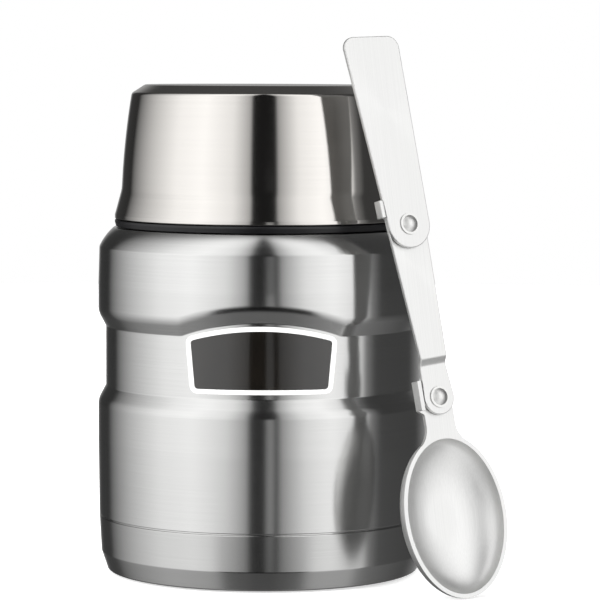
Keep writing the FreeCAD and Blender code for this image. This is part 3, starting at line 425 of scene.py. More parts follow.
@dataclass(frozen=True)
class Finish:
    """A finish with its name, its colour and its roughness, and what all finishes share."""

    name: str
    colour: str
    roughness: float

    def start(self) -> tuple[bpy.types.NodeTree, bpy.types.Node]:
        """Start the material.

        Returns:
            Its node tree and its main shader.
        """
        material = bpy.data.materials.new(self.name)
        material.use_nodes = True
        tree = material.node_tree
        shader = tree.nodes["Principled BSDF"]
        shader.inputs["Base Color"].default_value = linear(self.colour)
        shader.inputs["Roughness"].default_value = self.roughness
        return tree, shader

    def noise(self, tree: bpy.types.NodeTree, spacing: Triple, detail: float = 3.0,
              turned: Triple = (0, 0, 0)) -> bpy.types.NodeSocket:
        """Make a noise of a real size on the piece's own coordinates.

        Args:
            tree: The material's node tree.
            spacing: Its size along X, Y and Z in millimetres.
            detail: Finer layers.
            turned: The turn of the pattern in radians.

        Returns:
            The noise from 0 to 1.
        """
        place = add_node(tree, "ShaderNodeTexCoord")
        straight = add_node(tree, "ShaderNodeMapping", {"Vector": place.outputs["Object"]},
                            {"Rotation": turned}, vector_type="TEXTURE")
        scaled = add_node(tree, "ShaderNodeMapping", {"Vector": straight.outputs[0]},
                          {"Scale": tuple(1000 / size for size in spacing)})
        grain = add_node(tree, "ShaderNodeTexNoise", {"Vector": scaled.outputs[0]},
                         {"Scale": 1.0, "Detail": detail, "Roughness": LAYER_SHARE})
        return grain.outputs["Fac"]

    def spread(self, tree: bpy.types.NodeTree, source: bpy.types.NodeSocket, low: float,
               high: float) -> bpy.types.NodeSocket:
        """Stretch a noise to a range of values.

        Args:
            tree: The material's node tree.
            source: The noise.
            low: The value at the noise's lower end.
            high: The value at its upper end.

        Returns:
            The value at each point.
        """
        ends = {"From Min": NOISE_LOW, "From Max": NOISE_HIGH, "To Min": low, "To Max": high}
        node = add_node(tree, "ShaderNodeMapRange", {"Value": source}, ends)
        return node.outputs["Result"]

    def tint(self, tree: bpy.types.NodeTree, source: bpy.types.NodeSocket,
             other: str) -> bpy.types.NodeSocket:
        """Mix the finish's colour with another one by a noise.

        Args:
            tree: The material's node tree.
            source: The noise.
            other: The other colour's hex digits.

        Returns:
            The colour at each point.
        """
        node = add_node(tree, "ShaderNodeMix", {0: self.spread(tree, source, 0.0, 1.0)},
                        {6: linear(self.colour), 7: linear(other)}, data_type="RGBA")
        return node.outputs[2]

    def bump(self, tree: bpy.types.NodeTree, shader: bpy.types.Node, source: bpy.types.NodeSocket,
             depth: float) -> None:
        """Raise the surface by a noise.

        Args:
            tree: The material's node tree.
            shader: Its main shader.
            source: The noise.
            depth: How far it raises the surface, in millimetres.
        """
        node = add_node(tree, "ShaderNodeBump", {"Height": source},
                        {"Strength": 1.0, "Distance": depth * MM})
        tree.links.new(node.outputs["Normal"], shader.inputs["Normal"])


@dataclass(frozen=True)
class BrushedSteel(Finish):
    """Stainless steel sheet with a fine brushed grain.

    The lines blur reflections across themselves and leave them sharp along themselves, which
    draws the lights out into long streaks.
    """

    streak: str = "D6D6D4"
    stretch: float = 0.7
    lay: Lay = Lay.ROUND
    line: float = 0.3
    swing: float = 0.05
    groove: float = 0.0006
    turned: Triple = (0, 0, 0)

    def build(self) -> bpy.types.Material:
        """Build the material.

        The real lines lie about 0.05 mm apart, and are drawn 0.14 to 0.3 mm wide so that they show.

        Returns:
            The material.
        """
        tree, shader = self.start()
        if self.lay is Lay.ROUND:
            length = 60.0
            spacing = (length, length, self.line)
        else:
            length = 40.0
            spacing = (self.line, length, self.line)
        lines = self.noise(tree, spacing, 4.0, self.turned)
        tree.links.new(self.tint(tree, lines, self.streak), shader.inputs["Base Color"])
        rough = self.spread(tree, lines, self.roughness - self.swing, self.roughness + self.swing)
        tree.links.new(rough, shader.inputs["Roughness"])
        shader.inputs["Metallic"].default_value = 1.0
        shader.inputs["Anisotropic"].default_value = self.stretch
        if self.lay is Lay.ROUND:
            around = add_node(tree, "ShaderNodeTangent", direction_type="RADIAL", axis="Z")
            tree.links.new(around.outputs["Tangent"], shader.inputs["Tangent"])
            quarter = 0.25
            shader.inputs["Anisotropic Rotation"].default_value = quarter
        self.bump(tree, shader, lines, self.groove)
        return bpy.data.materials[self.name]


@dataclass(frozen=True)
class MouldedPlastic(Finish):
    """Polypropylene, moulded in a lightly textured tool, which gives a soft broad sheen."""

    grain: float = 0.35
    depth: float = 0.01
    other: str = "1C1C1E"
    cloud: float = 14.0
    swing: float = 0.04
    ior: float = 1.49

    def build(self) -> bpy.types.Material:
        """Build the material, with a texture of the tool's real grain.

        Returns:
            The material.
        """
        tree, shader = self.start()
        shader.inputs["IOR"].default_value = self.ior
        grain = self.noise(tree, (self.grain,) * 3, 2.0)
        cloud = self.noise(tree, (self.cloud,) * 3, 2.0)
        tree.links.new(self.tint(tree, cloud, self.other), shader.inputs["Base Color"])
        rough = self.spread(tree, cloud, self.roughness - self.swing, self.roughness + self.swing)
        tree.links.new(rough, shader.inputs["Roughness"])
        self.bump(tree, shader, grain, self.depth)
        return bpy.data.materials[self.name]


@dataclass(frozen=True)
class BakedEnamel(Finish):
    """Enamel baked on thin sheet, smooth with a slight orange peel."""

    other: str = "FFFFFF"
    gloss: float = 0.3
    peel: float = 1.2
    gloss_roughness: float = 0.08
    peel_depth: float = 0.002
    cloud: float = 9.0

    def build(self) -> bpy.types.Material:
        """Build the material, with a peel of about one millimetre.

        Returns:
            The material.
        """
        tree, shader = self.start()
        shader.inputs["Coat Weight"].default_value = self.gloss
        shader.inputs["Coat Roughness"].default_value = self.gloss_roughness
        peel = self.noise(tree, (self.peel,) * 3, 1.0)
        cloud = self.noise(tree, (self.cloud,) * 3, 2.0)
        tree.links.new(self.tint(tree, cloud, self.other), shader.inputs["Base Color"])
        self.bump(tree, shader, peel, self.peel_depth)
        return bpy.data.materials[self.name]


@dataclass(frozen=True)
class RolledFoil(Finish):
    """Thin rolled metal or melted braze, with faint creases and a lively surface."""

    crease: float = 5.0
    depth: float = 0.06
    smoother: float = 0.06
    rougher: float = 0.08

    def build(self) -> bpy.types.Material:
        """Build the material, with creases a few millimetres apart.

        Returns:
            The material.
        """
        tree, shader = self.start()
        shader.inputs["Metallic"].default_value = 1.0
        crease = self.noise(tree, (self.crease,) * 3, 3.0)
        low = self.roughness - self.smoother
        rough = self.spread(tree, crease, low, self.roughness + self.rougher)
        tree.links.new(rough, shader.inputs["Roughness"])
        self.bump(tree, shader, crease, self.depth)
        return bpy.data.materials[self.name]


@dataclass(frozen=True)
class CellFoam(Finish):
    """Foam with closed cells of about half a millimetre, dull and pale."""

    other: str = "D8D2BE"
    cells_per_metre: float = 1800.0
    depth: float = 0.15

    def build(self) -> bpy.types.Material:
        """Build the material from its cells.

        Returns:
            The material.
        """
        tree, shader = self.start()
        place = add_node(tree, "ShaderNodeTexCoord")
        cells = add_node(tree, "ShaderNodeTexVoronoi", {"Vector": place.outputs["Object"]},
                         {"Scale": self.cells_per_metre})
        distance = cells.outputs["Distance"]
        tree.links.new(self.tint(tree, distance, self.other), shader.inputs["Base Color"])
        self.bump(tree, shader, distance, self.depth)
        return bpy.data.materials[self.name]


SPOON_LEAN = 12.5  # degrees that the spoon leans back
SPOON_FACING = 30  # degrees that its face is turned to the right
SPOON_TURN = (math.radians(90 - SPOON_LEAN), 0.0, math.radians(SPOON_FACING))

# Stainless sheet brushed round the jar: broad bright and dark bands with faint lines across them
SATIN_SHELL = BrushedSteel("brushed_stainless_shell", "D2D2D1", 0.19, streak="D8D8D7", stretch=0.72,
                           line=0.14, swing=0.015, groove=0.0003)
SATIN_PAN = BrushedSteel("brushed_stainless_base", "CCCCCB", 0.2, streak="D2D2D1", stretch=0.72,
                         line=0.14, swing=0.015, groove=0.0003)
# The same sheet brushed finer on the lid: a harder, warmer shine
POLISHED_LID = BrushedSteel("polished_stainless_lid", "DAD7D3", 0.125, streak="DEDBD7", stretch=0.7,
                            line=0.14, swing=0.006, groove=0.0001)
# Stainless sheet ground along the spoon: pale and matt, with the lines up and down
SATIN_SPOON = BrushedSteel("satin_stainless_spoon", "DADAD9", 0.43, streak="E4E4E3", stretch=0.3,
                           lay=Lay.ALONG, line=0.2, swing=0.03, groove=0.0004, turned=SPOON_TURN)
BRIGHT_RIVET = BrushedSteel("turned_stainless_rivet", "DCDCDB", 0.45, streak="E8E8E6", stretch=0.0,
                            lay=Lay.ALONG, line=0.2, swing=0.03, turned=SPOON_TURN)
# Stainless sheet spun or stamped and not brushed: rings in the vessel, a dull grey below
SPUN_LINER = BrushedSteel("spun_stainless_vessel", "CFCFCE", 0.28, streak="E0E0DE", stretch=0.6)
PLAIN_SHEET = BrushedSteel("plain_stainless_sheet", "B8B8B6", 0.4, stretch=0.2)
# Black polypropylene: a soft sheen on the ring, a matt face on the stopper and in the bowl
BLACK_TRIM = MouldedPlastic("moulded_polypropylene_trim", "0E0E10", 0.32, grain=0.3, depth=0.004)
BLACK_STOPPER = MouldedPlastic("moulded_polypropylene_stopper", "17171A", 0.5, depth=0.014,
                               other="1F1F22")
BLACK_BOWL = MouldedPlastic("moulded_polypropylene_bowl", "1A1A1D", 0.38, depth=0.006,
                            other="222226")
# Moulded rubber and silicone: no clear highlight at all on the foot, a milky one on the gasket
FOOT_RUBBER = MouldedPlastic("moulded_rubber_foot", "151515", 0.75, grain=0.5, depth=0.03,
                             other="1E1E1E")
GASKET_SILICONE = MouldedPlastic("moulded_silicone_gasket", "C9C9C4", 0.45, grain=0.6, depth=0.004,
                                 other="D3D3CE")
# Baked enamel: a glossy dark face that mirrors the room, and a plain white border
PLATE_DARK = BakedEnamel("baked_enamel_plate", "100E0C", 0.1, other="16130F", gloss=0.9)
BORDER_WHITE = BakedEnamel("baked_enamel_border", "F0F0EE", 0.35, other="F8F8F7")
# Hidden metals: rolled copper, a drop of melted braze and a tablet of pressed powder
COPPER_FOIL = RolledFoil("rolled_copper_foil", "D08A63", 0.25)
SEAL_BRAZE = RolledFoil("melted_braze_seal", "B29A66", 0.35, crease=1.2)
GETTER_POWDER = RolledFoil("pressed_getter_powder", "4B4844", 0.7, crease=0.4, depth=0.03)
# Closed-cell foam inside the stopper: pale, dull and finely pitted
FOAM_FILL = CellFoam("closed_cell_foam", "EBE6D6", 0.9)


def dress(piece: bpy.types.Object, material: bpy.types.Material) -> None:
    """Give a piece one material all over."""
    piece.data.materials.clear()
    piece.data.materials.append(material)


# Pieces


@dataclass
class Jar:
    """The steel skin of the jar: its shell with the arched waist, its neck and its base pan."""

    waist: float = 46.0
    waist_low: float = 54.4
    waist_high: float = 71.8
    knee: float = 47.5
    body: float = 48.2
    seam: float = 16.7
    bevel_run: float = 2.8
    bevel_round: float = 2.7
    bevel_arc: float = 5.94
    wall: float = 0.6
    neck: float = 37.0
    deck: float = 43.7
    deck_height: float = 100.5
    neck_top: float = 111.5
    arch_half: float = 23.5
    arch_rise: float = 4.1
    lower_edge: float = 47.35
    drawn: float = 47.9
    lower_full: float = 38.0
    upper_full: float = 84.0
    swell: float = 60.0
    crease: float = 94.9
    shoulder: float = 16.0
    waist_round: float = 0.7
    ridge: float = 1.2
    ridge_height: float = 106.3
    ridge_root: float = 0.8
    ridge_crest: float = 0.4
    ridge_round: float = 0.25
    ridge_sink: float = 0.3
    starts: int = 3
    start_turn: float = 72.0
    start_rise: float = 2.4
    start_steps: int = 24

    def side(self) -> list[Vector]:
        """Draw the shell's outer line from its lower edge up to the neck.

        Returns:
            Its points in millimetres.
        """
        foot = (self.body, self.waist_low - self.bevel_run - self.bevel_round)
        low = (self.knee, self.waist_low - self.bevel_run)
        high = (self.knee, self.waist_high + self.bevel_run)
        head = (self.body, self.waist_high + self.bevel_run + self.bevel_round)
        crease = (self.drawn, self.crease)
        deck = (self.deck, self.deck_height)
        corners = [
            # The seam and the lower bulge
            Corner(self.lower_edge, self.seam + 0.1), Corner(self.drawn, self.seam, 0.25),
            Corner(self.body, self.lower_full, self.swell),
            # The waist between its two bevels
            Corner(*foot), *bow(foot, low, self.bevel_arc, 1), Corner(*low),
            Corner(self.waist, self.waist_low, self.waist_round),
            Corner(self.waist, self.waist_high, self.waist_round),
            Corner(*high), *bow(high, head, self.bevel_arc, 1), Corner(*head),
            # The upper bulge, the shoulder and the neck
            Corner(self.body, self.upper_full, self.swell), Corner(*crease, 0.9),
            *bow(crease, deck, self.shoulder, 1, 10),
            Corner(*deck, 0.5), Corner(self.neck, self.deck_height, 0.6),
            Corner(self.neck, self.neck_top),
        ]
        return rounded(corners, closed=False)

    def shell(self) -> bpy.types.Object:
        """Spin the shell, raise the arch over the plate and give the sheet its thickness.

        Returns:
            The shell.
        """
        piece = Bench.lathe("jar_shell", self.side(), steps=360, closed=False)
        Bench.edit(piece)
        self.raise_arch(piece)
        bpy.ops.object.mode_set(mode="OBJECT")
        Bench.modify(piece, "SOLIDIFY", thickness=self.wall * MM, offset=-1.0)
        Bench.smooth(piece)
        return piece

    def raise_arch(self, piece: bpy.types.Object) -> None:
        """Lift the upper bevel, degree by degree, along a circular arch over the plate.

        Args:
            piece: The shell in edit mode, with one column of points in each degree.
        """
        radius = (self.arch_half ** 2 + self.arch_rise ** 2) / (2 * self.arch_rise)
        below, above = 0.6, 0.1
        low = (self.waist_high - below) * MM
        high = (self.waist_high + self.bevel_run + self.bevel_round + above) * MM
        for degree in range(math.floor(math.degrees(self.arch_half / self.waist)) + 1):
            along = math.radians(degree) * self.waist
            rise = self.arch_rise - radius + math.sqrt(radius ** 2 - along ** 2)

            def column(place: Vector) -> bool:
                """Tell whether a place lies on the bevel at this angle, left or right.

                Args:
                    place: The place in metres.

                Returns:
                    True where it does.
                """
                if not low < place.z < high or place.y > 0:
                    return False
                near = 0.4
                return abs(abs(math.degrees(math.atan2(place.x, -place.y))) - degree) < near

            Bench.pick(piece, column)
            bpy.ops.transform.translate(value=(0, 0, rise * MM))

    def neck_thread(self) -> bpy.types.Object:
        """Wind one ridge of the neck's thread for each of its starts.

        Returns:
            The ridges as one piece.
        """
        root = self.neck - self.ridge_sink
        crest = self.neck + self.ridge
        section = rounded([
            Corner(root, -self.ridge_root), Corner(crest, -self.ridge_crest, self.ridge_round),
            Corner(crest, self.ridge_crest, self.ridge_round), Corner(root, self.ridge_root),
        ])
        points = [Vector((p.x, 0, self.ridge_height + p.y)) * MM for p in section]
        ridges = []
        for start in range(self.starts):
            piece = Bench.trace(f"neck_ridge_{start}", points, True)
            bpy.ops.object.mode_set(mode="OBJECT")
            Bench.modify(piece, "SCREW", angle=math.radians(self.start_turn),
                         screw_offset=self.start_rise * MM, steps=self.start_steps,
                         render_steps=self.start_steps, axis="Z", use_merge_vertices=True)
            Bench.edit(piece)
            bpy.ops.mesh.fill_holes(sides=0)
            Bench.close(piece)
            Bench.settle(piece, Matrix.Rotation(math.tau * start / self.starts, 4, "Z"))
            ridges.append(piece)
        Bench.take(ridges[0])
        for ridge in ridges[1:]:
            ridge.select_set(True)
        bpy.ops.object.join()
        piece = Bench.name("neck_thread")
        Bench.smooth(piece)
        return piece

    def pan(self) -> bpy.types.Object:
        """Turn the base pan with its lap, bevel, foot and recess.

        Returns:
            The pan.
        """
        corners = [
            # Outer face: the recess from its hole outwards, the foot, the bevel and the side
            Corner(1.6, 2.4), Corner(31.0, 2.4, 0.6), Corner(33.1, 0.3, 0.6),
            Corner(45.4, 0.3, 0.8), Corner(47.3, 5.9, 1.6), Corner(self.drawn, 16.35, 0.25),
            # The lap inside the shell
            Corner(47.3, 16.35), Corner(47.3, 18.9), Corner(46.7, 18.9), Corner(46.7, 15.8),
            # Inner face, back to the hole
            Corner(46.7, 5.9, 1.0), Corner(44.8, 0.95, 0.5), Corner(33.35, 0.9, 0.5),
            Corner(31.4, 3.0), Corner(1.6, 3.0),
        ]
        piece = Bench.lathe("jar_base_pan", rounded(corners))
        Bench.smooth(piece)
        return piece

    def make(self) -> None:
        """Make and dress the jar's steel pieces."""
        satin = SATIN_SHELL.build()
        shell = self.shell()
        dress(shell, satin)
        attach(shell, "jar")
        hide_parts("outer_shell")
        thread = self.neck_thread()
        dress(thread, satin)
        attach(thread, "jar")
        pan = self.pan()
        dress(pan, SATIN_PAN.build())
        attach(pan, "jar")
        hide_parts("base_pan")
        LOG.info("jar: shell, neck thread and base pan")


@dataclass
class Plate:
    """The bare plate on the waist with its light border, both cut from one outline."""

    waist: float = 46.0
    half: float = 19.9
    taper: float = 1.4
    low: float = 57.2
    border: float = 1.35
    crown: float = 73.65
    arch: float = 67.1
    corner: float = 2.3
    dark_wall: float = 0.25
    light_wall: float = 0.4
    corner_reach: float = 1.5
    edge: float = 0.12
    front: float = 60.0
    drum_middle: float = 65.0
    drum_height: float = 60.0

    def outline(self) -> list[Vector]:
        """Draw the border's outer line as seen from the front.

        Returns:
            Its points in millimetres.
        """
        radius = self.arch + self.border
        top = self.crown + self.border
        side = self.half + self.border
        foot = side - self.taper
        shoulder = top - radius + math.sqrt(radius ** 2 - side ** 2)
        right = (side, shoulder)
        left = (-side, shoulder)
        # The arch stops short of its ends, which leaves room to round them
        arch = [point for point in bow(right, left, radius, 1, 40)
                if abs(point.across) < self.half - self.corner_reach]
        return rounded([
            Corner(-foot, self.low - self.border, self.corner),
            Corner(foot, self.low - self.border, self.corner),
            Corner(*right, self.corner), *arch, Corner(*left, self.corner),
        ])

    def make(self) -> None:
        """Make and dress the plate and its border."""
        points = [Vector((point.x, -self.front, point.y)) * MM for point in self.outline()]
        border = Bench.trace("plate_border", points, True)
        bpy.ops.mesh.edge_face_add()
        mesh = bmesh.from_edit_mesh(border.data)
        mesh.normal_update()
        if sum(face.normal.y for face in mesh.faces) > 0:
            bpy.ops.mesh.flip_normals()
        bpy.ops.mesh.inset(thickness=self.border * MM, use_even_offset=True)
        bpy.ops.mesh.separate(type="SELECTED")
        bpy.ops.object.mode_set(mode="OBJECT")
        plate = next(o for o in bpy.context.selected_objects if o != border)
        plate.name = "plate_face"
        plate.data.name = "plate_face"
        self.wrap(border, self.light_wall)
        self.wrap(plate, self.dark_wall)
        dress(plate, PLATE_DARK.build())
        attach(plate, "jar")
        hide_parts("waist_plate")
        dress(border, BORDER_WHITE.build())
        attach(border, "jar")
        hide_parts("waist_plate_frame")
        LOG.info("plate: bare face and border")

    def wrap(self, piece: bpy.types.Object, wall: float) -> None:
        """Cut a flat piece into narrow strips, lay it round the waist and thicken it outwards.

        Args:
            piece: The flat piece in front of the jar.
            wall: Its thickness in millimetres.
        """
        Bench.edit(piece)
        reach = math.floor(self.half + self.border)
        for millimetre in range(-reach, reach + 1):
            bpy.ops.mesh.select_all(action="SELECT")
            bpy.ops.mesh.bisect(plane_co=(millimetre * MM, 0, 0), plane_no=(1, 0, 0))
        Bench.clear()
        bpy.ops.mesh.primitive_cylinder_add(vertices=720, radius=self.waist * MM,
                                            depth=self.drum_height * MM,
                                            location=(0, 0, self.drum_middle * MM))
        drum = Bench.name("waist_drum")
        Bench.modify(piece, "SHRINKWRAP", target=drum, wrap_method="PROJECT", use_project_y=True,
                     use_positive_direction=True, use_negative_direction=False)
        Bench.drop(drum)
        Bench.modify(piece, "SOLIDIFY", thickness=wall * MM, offset=1.0)
        Bench.soften(piece, self.edge, steps=2, limit=50)
        Bench.smooth(piece)


@dataclass
class Lid:
    """The lid's steel skin and the black ring under it."""

    radius: float = 43.4
    edge: float = 103.1
    top: float = 142.0
    wall: float = 0.5
    belly: float = 236.0
    flare_top: tuple[float, float] = (41.4, 111.6)
    belly_top: tuple[float, float] = (38.5, 139.6)
    inner_flare: tuple[float, float] = (40.9, 111.6)
    inner_top: tuple[float, float] = (38.0, 139.35)

    def skin(self) -> bpy.types.Object:
        """Spin the lid's skin as a closed section, outer face first.

        Returns:
            The skin.
        """
        outer = [
            # The flared foot, the bellied side, the chamfer and the top
            Corner(self.radius - self.wall, self.edge, 0.2), Corner(self.radius, self.edge, 0.25),
            Corner(self.radius, 104.2, 1.0), Corner(42.9, 106.0, 2.0), Corner(*self.flare_top, 9.0),
            *bow(self.flare_top, self.belly_top, self.belly, 1, 10)[1:],
            Corner(38.5, 139.5, 1.3), Corner(34.6, self.top, 1.2), Corner(0, self.top),
        ]
        inner = [
            # Back down the inner face
            Corner(0, self.top - self.wall), Corner(34.35, self.top - self.wall, 0.8),
            Corner(*self.inner_top, 0.8),
            *bow(self.inner_top, self.inner_flare, self.belly, -1, 10),
            Corner(*self.inner_flare), Corner(42.4, 106.0, 1.0), Corner(42.9, 104.2, 0.5),
        ]
        piece = Bench.lathe("lid_skin", rounded(outer + inner))
        Bench.smooth(piece)
        return piece

    def ring(self) -> bpy.types.Object:
        """Turn the black ring between the shoulder and the lid.

        Returns:
            The ring.
        """
        corners = [
            Corner(40.9, 100.8), Corner(43.05, 100.8, 0.3), Corner(43.4, 102.1, 0.5),
            Corner(43.4, 102.8, 0.35), Corner(40.9, 102.8),
        ]
        piece = Bench.lathe("lid_black_ring", rounded(corners))
        Bench.smooth(piece)
        return piece

    def make(self) -> None:
        """Make and dress the lid's skin and its ring."""
        skin = self.skin()
        dress(skin, POLISHED_LID.build())
        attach(skin, "lid")
        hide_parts("lid_shell")
        ring = self.ring()
        dress(ring, BLACK_TRIM.build())
        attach(ring, "lid_ring")
        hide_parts("lid_trim_ring")
        LOG.info("lid: skin and black ring")


@dataclass
class Spoon:
    """The folding spoon's pressed pieces, drawn flat in the spoon's plane and then stood up."""

    sheet: float = 1.2
    gap: float = 0.4
    joggle: float = 1.4
    link_length: float = 48.9
    link_foot: float = 4.9
    link_waist: float = 4.2
    link_head: float = 6.3
    tail: float = 4.8
    tail_length: float = 10.5
    scoop_half: float = 16.7
    scoop_semi: float = 23.0
    scoop_depth: float = 7.4
    power: float = 2.5
    handle_foot: float = 6.7
    handle_half: float = 8.9
    handle_length: float = 54.5
    handle_corner: float = 3.6
    handle_skew: float = 1.5
    lug_gap: float = 0.5
    lug_rise: float = 1.9
    lug_round: float = 0.3
    bowl_edge: float = 0.28
    link_edge: float = 0.22
    handle_edge: float = 0.25
    rivet: Triple = (48.99907, -45.90066, 55.38269)
    bowl_tilt: float = 3.8
    link_tilt: float = 6.4
    handle_tilt: float = 6.8
    lower_lug: tuple[float, float] = (-3.2, 5.1)
    upper_lug: tuple[float, float] = (2.7, 7.7)
    tail_lap: float = 2.1
    tail_fillet: float = 7.0
    waist_place: float = 9.2
    waist_round: float = 20.0
    joggle_start: float = 8.9
    joggle_run: float = 2.4
    joggle_cuts: int = 8
    # Parts of the bowl's depth at which it has a ring of points, closer together near its floor
    levels: tuple[float, ...] = (
        0.0, 0.08, 0.16, 0.24, 0.32, 0.4, 0.48, 0.56, 0.64, 0.71, 0.77, 0.83, 0.88, 0.92, 0.955,
        0.985,
    )

    def plane(self, tilt: float, along: float = 0.0, turned: float = 0.0) -> Matrix:
        """Give the place of a piece that is drawn in the spoon's plane.

        Args:
            tilt: Degrees that the piece leans to the left.
            along: Distance from the lower rivet, in millimetres.
            turned: Degrees that this distance leans to the left.

        Returns:
            The matrix from the drawing to the standing spoon.
        """
        rivet = Matrix.Translation(Vector(self.rivet) * MM)
        facing = Matrix.Rotation(math.radians(SPOON_FACING), 4, "Z")
        stand = facing @ Matrix.Rotation(math.radians(90 - SPOON_LEAN), 4, "X")
        line = Matrix.Rotation(math.radians(turned), 4, "Z")
        step = Matrix.Translation(line @ Vector((0, along * MM, 0)))
        return rivet @ stand @ step @ Matrix.Rotation(math.radians(tilt), 4, "Z")

    def form(self, name: str, inset: float, over: float) -> bpy.types.Object:
        """Shape the solid form of the spoon's bowl, ring by ring down from its rim.

        Args:
            name: The form's name.
            inset: How far it lies inside the outer face, in millimetres.
            over: How far it stands above the rim, in millimetres.

        Returns:
            The form, in object mode.
        """
        wide = (self.scoop_half - inset) * MM
        long = (self.scoop_semi - inset) * MM
        deep = (self.scoop_depth + self.sheet - inset) * MM
        centre = Vector((0, -(self.tail_length + self.scoop_semi) * MM, 0))
        Bench.clear()
        bpy.ops.mesh.primitive_circle_add(vertices=144, radius=1.0, location=(0, 0, 0),
                                          fill_type="NGON")
        piece = Bench.name(name)
        Bench.edit(piece)
        bpy.ops.transform.resize(value=(wide, long, 1), center_override=(0, 0, 0))
        bpy.ops.transform.translate(value=centre + Vector((0, 0, over * MM)))
        if over > 0:
            bpy.ops.mesh.extrude_region_move(TRANSFORM_OT_translate={"value": (0, 0, -over * MM)})
        for before, after in zip(self.levels, self.levels[1:]):
            shrink = self.scale_at(after) / self.scale_at(before)
            drop = deep * (after - before) / self.levels[-1]
            bpy.ops.mesh.extrude_region_move(TRANSFORM_OT_translate={"value": (0, 0, -drop)})
            bpy.ops.transform.resize(value=(shrink, shrink, 1), center_override=centre)
        Bench.close(piece)
        return piece

    def scale_at(self, part: float) -> float:
        """Give the size of the bowl's ellipse at a part of its depth."""
        return (1 - part ** self.power) ** (1 / self.power)

    def tail_line(self) -> list[Vector]:
        """Draw the bowl's tail with its stop tab.

        Returns:
            Its points in millimetres.
        """
        join = self.tail_length + self.tail_lap
        inward = (self.scoop_semi - self.tail_lap) / self.scoop_semi
        flare = self.scoop_half * math.sqrt(1 - inward ** 2)
        right = (self.tail, -self.tail_length + 3.5)
        left = (-right[0], right[1])
        low, high = self.lower_lug
        tab = self.link_foot + self.lug_gap + self.sheet
        # The tail's round head ends where the stop tab leaves it, at a 3-4-5 slope
        head = (-self.tail * 0.6, self.tail * 0.8)
        corners = [
            Corner(-tab, low, self.lug_round), Corner(-self.tail, -4.4, 0.8), Corner(*left),
            *bow(left, (-flare, -join), self.tail_fillet, -1), Corner(-flare, -join),
            Corner(flare, -join), *bow((flare, -join), right, self.tail_fillet, -1),
            Corner(*right), Corner(self.tail, 0), *bow((self.tail, 0), head, self.tail, 1, 14),
            Corner(head[0], high, self.lug_round), Corner(-tab, high, self.lug_round),
        ]
        return rounded(corners)

    def lug(self, piece: bpy.types.Object, inner: float, low: float, high: float,
            face: float) -> None:
        """Bend a stop lug forward from the left edge of a pressed piece.

        Args:
            piece: The flat piece.
            inner: Distance of the lug's inner face from the middle line.
            low: Its lower end.
            high: Its upper end.
            face: Height of the sheet's front face.
        """
        outline = rounded([
            Corner(-inner - self.sheet, low, self.lug_round), Corner(-inner, low),
            Corner(-inner, high), Corner(-inner - self.sheet, high, self.lug_round),
        ])
        tab = Bench.slab("stop_lug", outline, face - self.sheet / 2, self.sheet / 2 + self.lug_rise)
        Bench.combine(piece, tab, "UNION")

    def bowl(self) -> bpy.types.Object:
        """Press the spoon's bowl, with its tail and its stop lug.

        Returns:
            The bowl.
        """
        piece = self.form("spoon_scoop_shell", 0.0, 0.0)
        Bench.combine(piece, Bench.slab("tail", self.tail_line(), -self.sheet, self.sheet), "UNION")
        self.lug(piece, self.link_foot + self.lug_gap, *self.lower_lug, face=0.0)
        Bench.combine(piece, self.form("hollow", inset=self.sheet, over=0.6), "DIFFERENCE")
        Bench.soften(piece, self.bowl_edge, steps=3, limit=38)
        Bench.smooth(piece, 40)
        Bench.settle(piece, self.plane(self.bowl_tilt))
        return piece

    def link(self) -> bpy.types.Object:
        """Press the link: an outline with a forward step, and its stop lug.

        Returns:
            The link.
        """
        tab = self.handle_foot + self.lug_gap + self.sheet
        low, high = (self.link_length + place for place in self.upper_lug)
        back = (-self.link_foot, 0.0)
        heel = (0.0, -self.link_foot)
        foot = (self.link_foot, 0.0)
        head = (self.link_head, self.link_length)
        crest = (0.0, self.link_length + self.link_head)
        corners = [
            Corner(*back), *bow(back, heel, self.link_foot, 1, 10),
            Corner(*heel), *bow(heel, foot, self.link_foot, 1, 10), Corner(*foot),
            Corner(self.link_waist, self.waist_place, self.waist_round), Corner(*head),
            *bow(head, crest, self.link_head, 1, 10), Corner(*crest),
            Corner(-self.link_head + self.sheet, high, self.lug_round),
            Corner(-tab, high, self.lug_round), Corner(-tab, low, self.lug_round),
            Corner(-self.link_head, low, 0.5),
            Corner(-self.link_waist, self.waist_place, self.waist_round),
        ]
        piece = Bench.slab("spoon_link_strip", rounded(corners), self.gap, self.sheet)
        self.step_forward(piece)
        self.lug(piece, self.handle_foot + self.lug_gap, low, high,
                 self.gap + self.joggle + self.sheet)
        Bench.soften(piece, self.link_edge, steps=3, limit=38)
        Bench.smooth(piece)
        Bench.settle(piece, self.plane(self.link_tilt))
        return piece

    def step_forward(self, piece: bpy.types.Object) -> None:
        """Bend the flat link forward, strip by strip, so that the handle clears the bowl.

        Args:
            piece: The flat link.
        """
        Bench.edit(piece)
        cuts = self.joggle_cuts
        for cut in range(cuts + 1):
            bpy.ops.mesh.select_all(action="SELECT")
            height = (self.joggle_start + self.joggle_run * cut / cuts) * MM
            bpy.ops.mesh.bisect(plane_co=(0, height, 0), plane_no=(0, 1, 0))
        for cut in range(cuts):
            rise = self.joggle * (self.ease((cut + 1) / cuts) - self.ease(cut / cuts))
            start = (self.joggle_start + self.joggle_run * (cut + 0.5) / cuts) * MM
            Bench.pick(piece, lambda place: place.y > start)
            bpy.ops.transform.translate(value=(0, 0, rise * MM))
        bpy.ops.object.mode_set(mode="OBJECT")

    @staticmethod
    def ease(part: float) -> float:
        """Give the share of the forward step at a part of its run."""
        return part * part * (3 - 2 * part)

